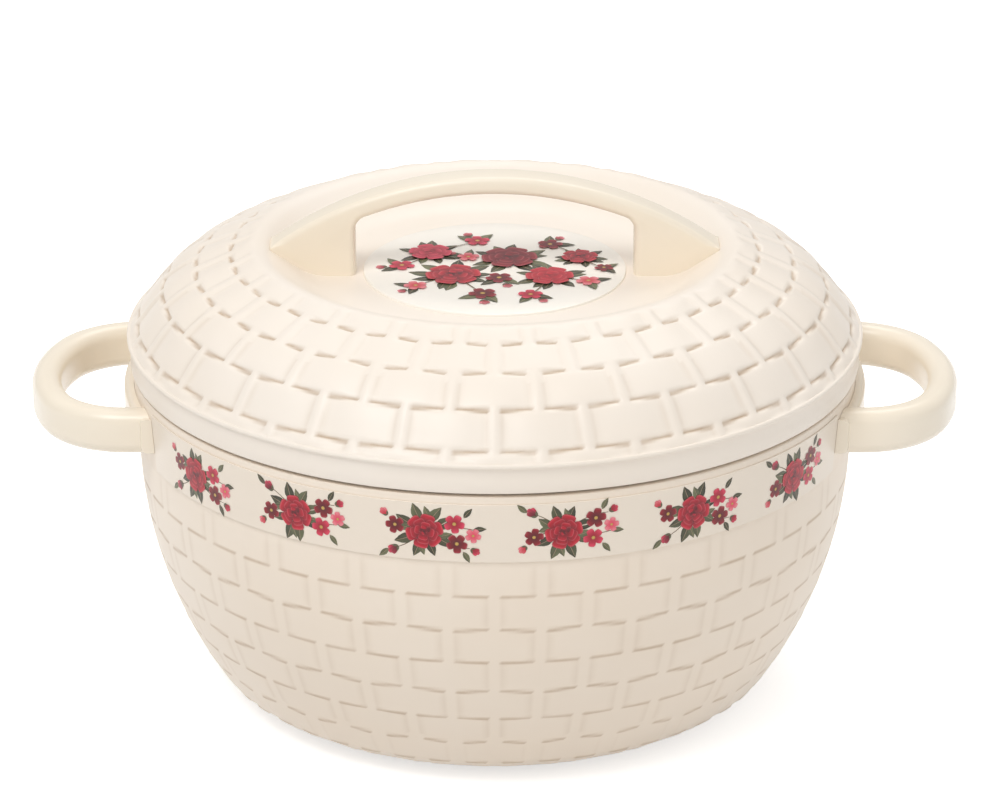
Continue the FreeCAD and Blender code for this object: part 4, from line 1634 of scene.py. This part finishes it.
@dataclass
class PrintedDisc:
    """Printed disc on the well floor, with a wreath of roses."""

    radius: float = 44.5
    bottom: float = 147.0
    thickness: float = 0.8
    edge_round: float = 0.32
    cap_radius: float = 0.3
    step: float = 14.0
    segments: int = 256
    seed: int = 41
    ink_clearance: float = 0.02
    layer_lift: float = 0.0012
    rose_leaves: int = 9
    bud_limit: float = 7.0

    def build(self, finishes: Finishes) -> None:
        """Builds the disc and its print.

        Args:
            finishes: the materials.
        """
        top = self.bottom + self.thickness
        corners = [
            (self.cap_radius, self.bottom, 0),
            (self.radius, self.bottom, 0),
            (self.radius, top, self.edge_round),
            (self.cap_radius, top, 0),
        ]
        outline = without_repeats(blended(corners, self.step))
        vertices = turned_vertices(outline, self.segments)
        faces = capped_faces(len(outline), self.segments)
        disc = add_mesh("lid_disc_film", vertices, faces, FILM_ANGLE)
        finishes.dress(disc, Slot.FILM)
        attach(disc, Body.LID.value)
        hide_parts("lid_disc")
        print_piece = self.draw().made("lid_disc_print", self.surface)
        finishes.dress_with(print_piece, finishes.ink, Slot.FILM)
        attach(print_piece, Body.LID.value)

    def surface(self, rows: np.ndarray) -> np.ndarray:
        """Places flat rows of x, y and layer on the disc.

        Args:
            rows: (n, 3) array in millimetres, the third column being a layer number.

        Returns:
            (n, 3) coordinates in metres.
        """
        placed = rows.copy()
        top = self.bottom + self.thickness + self.ink_clearance
        placed[:, 2] = top + rows[:, 2] * self.layer_lift
        return placed * MM

    def draw(self) -> InkSheet:
        """Scattered roses with leaves, smaller blossoms and buds between them.

        Returns:
            The sheet with all of them.
        """
        chance = random.Random(self.seed)
        sheet = InkSheet()
        roses = (
            (-14.0, -7.5, 9.6, MAROON, ROSE_RED),
            (5.0, 9.0, 9.8, MAROON, CRIMSON),
            (18.5, -9.0, 8.4, CRIMSON, ROSE_RED),
            (-22.0, 14.0, 7.6, CRIMSON, ROSE_PINK),
            (29.0, 9.5, 6.4, MAROON, ROSE_RED),
        )
        blooms = (
            (1.5, -10.5, 4.8),
            (-31.5, 1.5, 4.6),
            (-26.5, -18.0, 4.2),
            (-4.0, -25.5, 5.0),
            (12.0, -26.5, 4.4),
            (31.5, -13.5, 4.4),
            (19.0, 22.0, 4.6),
            (-6.0, 25.5, 4.6),
            (-9.0, 9.5, 4.0),
            (37.0, -1.0, 3.4),
        )
        for x, y, radius, _, _ in roses:
            for i in range(self.rose_leaves):
                heading = 2 * math.pi * i / self.rose_leaves + chance.uniform(-0.3, 0.3)
                length = radius * chance.uniform(0.75, 1.05)
                base = sheet.placed((x, y), heading, radius * 0.6, 0.0)
                tone = chance.choice((0.0, 0.15, 0.4, 0.8))
                sheet.leaf(base, heading + chance.uniform(-0.35, 0.35), length, length * 0.48, tone)
        for x, y, radius in blooms:
            near = min(roses, key=lambda rose: math.hypot(rose[0] - x, rose[1] - y))
            sheet.stem((near[0], near[1]), (x, y), chance.uniform(-1.6, 1.6), 0.7)
            outward = math.atan2(y, x)
            for turn in (-0.9, 0.7):
                sheet.leaf((x, y), outward + turn, radius * 1.9, radius * 0.8, chance.choice((0.1, 0.6, 0.9)))
            tip = sheet.placed((x, y), outward + 0.2, radius * 1.1, 0.0)
            if math.hypot(*tip) < self.radius - self.bud_limit:
                sheet.bud(tip, outward + 0.3, radius * 0.9, CRIMSON, BLUSH)
        for number, (x, y, radius) in enumerate(blooms):
            dark, bright = ((MAROON, CRIMSON), (CRIMSON, ROSE_PINK), (ROSE_RED, BLUSH))[number % 3]
            sheet.blossom((x, y), radius, chance.uniform(0, 1), dark, bright)
        for x, y, radius, dark, bright in roses:
            sheet.rose((x, y), radius, chance.uniform(0, 1), dark, bright)
        return sheet


@dataclass
class SideHandle:
    """Loop handle with its seat plate and the channel in its underside."""

    node: str
    side: int
    thickness: float = 10.0
    height: float = 15.0
    edge_round: float = 4.2
    middle_height: float = 104.8
    half_span: float = 40.0
    reach: float = 153.0
    corner_radius: float = 27.0
    bow_radius: float = 60.0
    channel_width: float = 4.6
    channel_depth: float = 10.0
    channel_start: float = 128.7
    plate_thickness: float = 3.0
    plate_height: float = 12.0
    plate_half_width: float = 46.0
    plate_round: float = 1.8
    plate_stations: int = 61
    seat_gap: float = 0.1
    leg_starts: tuple[float, ...] = (112.0, 117.0, 120.0)
    path_step: float = 0.9
    section_step: float = 0.8
    plate_step: float = 1.0
    shell: BodyShell = field(default_factory=BodyShell)

    def wall_radius(self, height: float) -> float:
        """Radius at which the handle meets the smooth band, at a height."""
        band = self.shell
        return band.band_bottom_radius + band.slope * (height - band.band_bottom_height) + self.seat_gap

    def path(self) -> list[tuple[Point, Point]]:
        """Centreline of the loop, in plan.

        Returns:
            Places with the direction of travel at each.
        """
        corner_y = self.half_span - self.corner_radius
        bow_x = self.reach - self.bow_radius
        corner_x = bow_x + math.sqrt((self.bow_radius - self.corner_radius) ** 2 - corner_y ** 2)
        turn = math.atan2(corner_y, corner_x - bow_x)
        corner, bow = (corner_x, -corner_y), (bow_x, 0.0)
        front = [(x, -self.half_span) for x in self.leg_starts]
        front += arc_points(corner, self.corner_radius, -math.pi / 2, -turn, self.path_step)
        front += arc_points(bow, self.bow_radius, -turn, 0.0, self.path_step)[1:]
        places = front + [(x, -y) for x, y in front[-2::-1]]
        ahead = np.gradient(np.array(places), axis=0)
        ahead /= np.linalg.norm(ahead, axis=1)[:, None]
        straight = len(self.leg_starts)
        ahead[:straight] = (1.0, 0.0)
        ahead[-straight:] = (-1.0, 0.0)
        return list(zip(places, [tuple(row) for row in ahead]))

    def section(self, depth: float) -> list[Point]:
        """Rounded section of the strap with its channel, as (outward, height) points.

        Args:
            depth: depth of the channel, 0 for none.

        Returns:
            The points in order.
        """
        across, up = self.thickness / 2 - self.edge_round, self.height / 2 - self.edge_round
        lip = math.asin((self.channel_width / 2 - across) / self.edge_round)
        quarter = math.pi / 2
        right = arc_points((across, -up), self.edge_round, lip - quarter, 0.0, self.section_step)
        right += arc_points((across, up), self.edge_round, 0.0, quarter, self.section_step)
        left = [(-x, z) for x, z in right[::-1]]
        roof = -self.height / 2 + depth if depth > 0 else right[0][1]
        half = self.channel_width / 2
        return right + left + [(-half, roof), (half, roof)]

    def strap(self) -> tuple[np.ndarray, list]:
        """Loop without its plate.

        Returns:
            Vertices in metres and faces.
        """
        rows = []
        stations = self.path()
        for number, (place, ahead) in enumerate(stations):
            depth = self.channel_depth if place[0] > self.channel_start else 0.0
            for across, up in self.section(depth):
                x = place[0] + ahead[1] * across
                y = place[1] - ahead[0] * across
                z = self.middle_height + up
                if number in (0, len(stations) - 1):
                    x = math.sqrt(self.wall_radius(z) ** 2 - y ** 2)
                rows.append((self.side * x, y, z))
        return np.array(rows) * MM, capped_faces(len(stations), len(self.section(0.0)))

    def plate(self, first: int) -> tuple[np.ndarray, list]:
        """Vertices and faces of the seat plate.

        Args:
            first: number of its first vertex.

        Returns:
            Vertices in metres and faces.
        """
        low = self.middle_height - self.plate_height / 2
        high = self.middle_height + self.plate_height / 2
        outer = self.shell.top_radius + self.plate_thickness
        corners = [
            (self.wall_radius(low), low, 0),
            (outer, low, self.plate_round),
            (outer, high, self.plate_round),
            (self.wall_radius(high), high, 0),
        ]
        outline = without_repeats(blended(corners, self.plate_step))
        rows = []
        for i in range(self.plate_stations):
            share = 2 * i / (self.plate_stations - 1) - 1
            for radius, height in outline:
                turn = share * math.asin(self.plate_half_width / radius)
                rows.append((self.side * radius * math.cos(turn), radius * math.sin(turn), height))
        return np.array(rows) * MM, capped_faces(self.plate_stations, len(outline), first)

    def build(self, finishes: Finishes) -> None:
        """Builds the handle and dresses it.

        Args:
            finishes: the materials.
        """
        strap, faces = self.strap()
        plate, more = self.plate(len(strap))
        faces = [face if self.side > 0 else face[::-1] for face in faces + more]
        piece = add_mesh(f"{self.node}_loop", np.vstack([strap, plate]), faces, HANDLE_ANGLE)
        finishes.dress(piece, Slot.HANDLE)
        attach(piece, Body.BODY.value)
        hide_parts(self.node)


@dataclass
class ArchHandle:
    """Arch across the well with a web at each end."""

    top_height: float = 181.7
    top_radius: float = 128.05
    underside_height: float = 175.7
    underside_radius: float = 121.05
    width: float = 12.0
    window_half: float = 47.0
    window_corner: float = 5.0
    edge_round: float = 2.2
    round_steps: int = 6
    step: float = 0.9
    foot_step: float = 0.6
    foot_margin: float = 0.6
    join_gap: float = 0.6
    end_fade: float = 4.0
    corner_reach: float = 20.0
    corner_rise: float = 1.9
    lid: LidShell = field(default_factory=LidShell)

    def foot_line(self) -> list[Point]:
        """Line on the lid under the right web.

        Returns:
            Points from the arch's end in to the window.
        """
        lid = self.lid
        edge = (lid.skirt_radius, lid.lip_height + 1.0, 0)
        dome = blended([edge, lid.shoulder, lid.crest, lid.well, (0.0, lid.well[1], 0)], self.foot_step)
        centre = self.top_height - self.top_radius
        nearest = self.window_half + self.edge_round + self.foot_margin
        return [
            (x, z)
            for x, z in dome
            if nearest < x < lid.crest[0] and z < centre + math.sqrt(self.top_radius ** 2 - x ** 2)
        ]

    def outline(self) -> tuple[np.ndarray, np.ndarray, np.ndarray]:
        """Outline of the arch seen from the front, counted round from its left end over the top.

        Returns:
            Points, inward directions and the share of the edge rounding at each point.
        """
        feet = self.foot_line()
        end = feet[0][0]
        over = math.asin(end / self.top_radius)
        upright = math.pi / 2
        centre = (0.0, self.top_height - self.top_radius)
        top = arc_points(centre, self.top_radius, upright + over, upright - over, self.step)
        under = self.underside_height - self.underside_radius
        lean = math.asin(self.window_half / self.underside_radius)
        jamb_top = under + self.underside_radius * math.cos(lean)
        beyond = (
            self.window_half - self.corner_reach * math.cos(lean),
            jamb_top + self.corner_reach * math.sin(lean),
            0,
        )
        jamb = [(self.window_half, self.lid.well[1], 0), (self.window_half, jamb_top, self.window_corner)]
        corner = [p for p in blended(jamb + [beyond], self.step) if p[1] < jamb_top + self.corner_rise]
        reach = math.asin((corner[-1][0] - self.join_gap) / self.underside_radius)
        centre = (0.0, under)
        beneath = arc_points(centre, self.underside_radius, upright - reach, upright + reach, self.step)
        right = feet[1:]
        left_corner = [(-x, z) for x, z in corner[::-1]]
        left = [(-x, z) for x, z in right[::-1]]
        rows = np.array(top + right + corner + beneath + left_corner + left)
        ahead = np.roll(rows, -1, axis=0) - np.roll(rows, 1, axis=0)
        ahead /= np.linalg.norm(ahead, axis=1)[:, None]
        inward = np.stack([ahead[:, 1], -ahead[:, 0]], axis=1)
        first_jamb, last_jamb = len(top) + len(right), len(rows) - len(right) - 1
        inward[first_jamb], inward[last_jamb] = (1.0, 0.0), (-1.0, 0.0)
        share = np.zeros(len(rows))
        share[first_jamb : last_jamb + 1] = 1.0
        from_end = end - np.abs(rows[: len(top), 0])
        share[: len(top)] = np.clip(from_end / self.end_fade, 0.0, 1.0)
        return rows, inward, share

    def build(self, finishes: Finishes) -> None:
        """Builds the arch and dresses it.

        Args:
            finishes: the materials.
        """
        points, inward, share = self.outline()
        flat = self.width / 2 - self.edge_round
        quarter = [math.pi / 2 * i / self.round_steps for i in range(self.round_steps + 1)]
        levels = [
            (-flat - self.edge_round * math.sin(a), self.edge_round * (1 - math.cos(a)))
            for a in quarter[::-1]
        ]
        levels += [(-y, inset) for y, inset in levels[::-1]]
        rows = []
        for depth, inset in levels:
            moved = points + inward * (share * inset)[:, None]
            rows.append(np.column_stack([moved[:, 0], np.full(len(moved), depth), moved[:, 1]]))
        faces = capped_faces(len(levels), len(points))
        piece = add_mesh("lid_handle_arch", np.vstack(rows) * MM, faces, HANDLE_ANGLE)
        finishes.dress(piece, Slot.HANDLE)
        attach(piece, Body.LID.value)
        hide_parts("lid_handle")


@dataclass
class ConstructionPieces:
    """Pieces that keep the construction's own form and get only a finish."""

    slots: dict[str, Slot] = field(
        default_factory=lambda: {
            "inner_bowl": Slot.BOWL,
            "rim_ring": Slot.PLAIN,
            "body_insulation": Slot.FOAM,
            "base_plug": Slot.PLAIN,
            "handle_screws_left": Slot.SCREW,
            "handle_screws_right": Slot.SCREW,
            "lid_cover": Slot.PLAIN,
            "lid_insulation": Slot.FOAM,
            "lid_plug": Slot.PLAIN,
            "lid_handle_screws": Slot.SCREW,
        }
    )

    def dress(self, frame: dict, finishes: Finishes) -> None:
        """Assigns the finishes.

        Args:
            finishes: the materials.
        """
        for node, slot in self.slots.items():
            piece = frame["nodes"][node]
            material = finishes.by_slot[slot]
            if not piece.material_slots:
                piece.data.materials.append(material)
            for place in piece.material_slots:
                place.material = material
            LOG.info("%s dressed", node)


@dataclass
class Studio:
    """Pale floor, soft lamps and the camera at the photograph's angle."""

    lens: float = 157.37
    distance: float = 1.5
    elevation: float = 22.1
    target: tuple[float, float, float] = (0.00179, 0.0, 0.0999)
    floor_size: float = 8.0
    floor_tone: float = 0.82
    floor_glow: float = 0.58
    world_level: float = 0.56
    lamps: tuple[tuple[str, tuple[float, float, float], float, float], ...] = (
        ("key_lamp", (-0.7, -1.1, 2.2), 25.0, 1.1),
        ("fill_lamp", (1.4, -1.8, 1.0), 4.0, 1.4),
        ("back_lamp", (0.3, 1.4, 2.1), 12.0, 1.2),
    )

    def build(self) -> None:
        """Builds the stage."""
        self.floor()
        self.world()
        for name, place, power, size in self.lamps:
            self.lamp(name, Vector(place), power, size)
        self.camera()
        bpy.context.scene.view_settings.view_transform = "Standard"

    def floor(self) -> None:
        """Large pale floor that keeps the shadow."""
        half = self.floor_size / 2
        corners = np.array([(-half, -half, 0), (half, -half, 0), (half, half, 0), (-half, half, 0)])
        floor = add_mesh("floor", corners, [(0, 1, 2, 3)], FLOOR_ANGLE)
        material = bpy.data.materials.new("floor_white")
        material.use_nodes = True
        tree = material.node_tree
        tree.nodes.clear()
        sketch = NodeSketch(tree)
        path = sketch.add("ShaderNodeLightPath")
        seen = sketch.math("MAXIMUM", path.outputs["Is Camera Ray"], path.outputs["Is Glossy Ray"])
        seen = sketch.math("MAXIMUM", seen, path.outputs["Is Transmission Ray"])
        tone = rgba((self.floor_tone,) * 3)
        matt = sketch.add("ShaderNodeBsdfDiffuse", {"Color": tone})
        level = sketch.math("MULTIPLY", seen, self.floor_glow)
        glow = sketch.add("ShaderNodeEmission", {"Strength": level})
        both = sketch.add("ShaderNodeAddShader", {0: matt.outputs[0], 1: glow.outputs[0]})
        sketch.add("ShaderNodeOutputMaterial", {"Surface": both.outputs[0]})
        floor.data.materials.append(material)
        floor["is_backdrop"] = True

    def world(self) -> None:
        """Even pale sky, white where it is seen."""
        world = bpy.data.worlds.new("studio")
        bpy.context.scene.world = world
        world.use_nodes = True
        tree = world.node_tree
        tree.nodes.clear()
        sketch = NodeSketch(tree)
        path = sketch.add("ShaderNodeLightPath")
        level = sketch.spread(path.outputs["Is Camera Ray"], self.world_level, 1.0)
        light = sketch.add("ShaderNodeBackground", {"Color": (1.0, 1.0, 1.0, 1.0), "Strength": level})
        sketch.add("ShaderNodeOutputWorld", {"Surface": light.outputs[0]})

    def lamp(self, name: str, place: Vector, power: float, size: float) -> None:
        """Soft square lamp that faces the casserole.

        Args:
            name: its name.
            place: where it hangs, in metres.
            power: watts.
            size: side in metres.
        """
        data = bpy.data.lights.new(name, "AREA")
        data.energy = power
        data.size = size
        lamp = bpy.data.objects.new(name, data)
        lamp.location = place
        lamp.rotation_euler = (Vector(self.target) - place).to_track_quat("-Z", "Y").to_euler()
        bpy.context.scene.collection.objects.link(lamp)

    def camera(self) -> None:
        """Camera that looks down on the front."""
        data = bpy.data.cameras.new("camera")
        data.sensor_width = 36.0
        data.lens = self.lens
        data.clip_end = 20.0
        camera = bpy.data.objects.new("camera", data)
        turn = math.radians(self.elevation)
        away = Vector((0, -math.cos(turn), math.sin(turn)))
        camera.location = Vector(self.target) + away * self.distance
        camera.rotation_euler = (math.pi / 2 - turn, 0, 0)
        bpy.context.scene.collection.objects.link(camera)
        bpy.context.scene.camera = camera


def box_rows(box: object) -> list[list[float]]:
    """Box as plain lists of numbers."""
    return [[float(value) for value in corner] for corner in box]


def main() -> dict:
    """Builds the whole scene.

    Returns:
        The boxes of the construction and of the visible model.
    """
    logging.basicConfig(level=logging.INFO, format="%(name)s: %(message)s")
    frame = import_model()
    sizes = {"construction": box_rows(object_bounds())}
    finishes = Finishes()
    finishes.build()
    ConstructionPieces().dress(frame, finishes)
    assemblies = {
        "outer_shell": BodyShell(),
        "lid_shell": LidShell(),
        "label_front": PrintedBand("label_front", "label_front", -90.0, 7),
        "label_back": PrintedBand("label_back", "label_back", 90.0, 23),
        "handle_left": SideHandle("handle_left", -1),
        "handle_right": SideHandle("handle_right", 1),
        "lid_handle": ArchHandle(),
        "lid_disc": PrintedDisc(),
    }
    for node, assembly in assemblies.items():
        assembly.build(finishes)
        LOG.info("%s built", node)
    Studio().build()
    sizes["visible"] = box_rows(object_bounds())
    return sizes


if __name__ == "__main__":
    found = main()
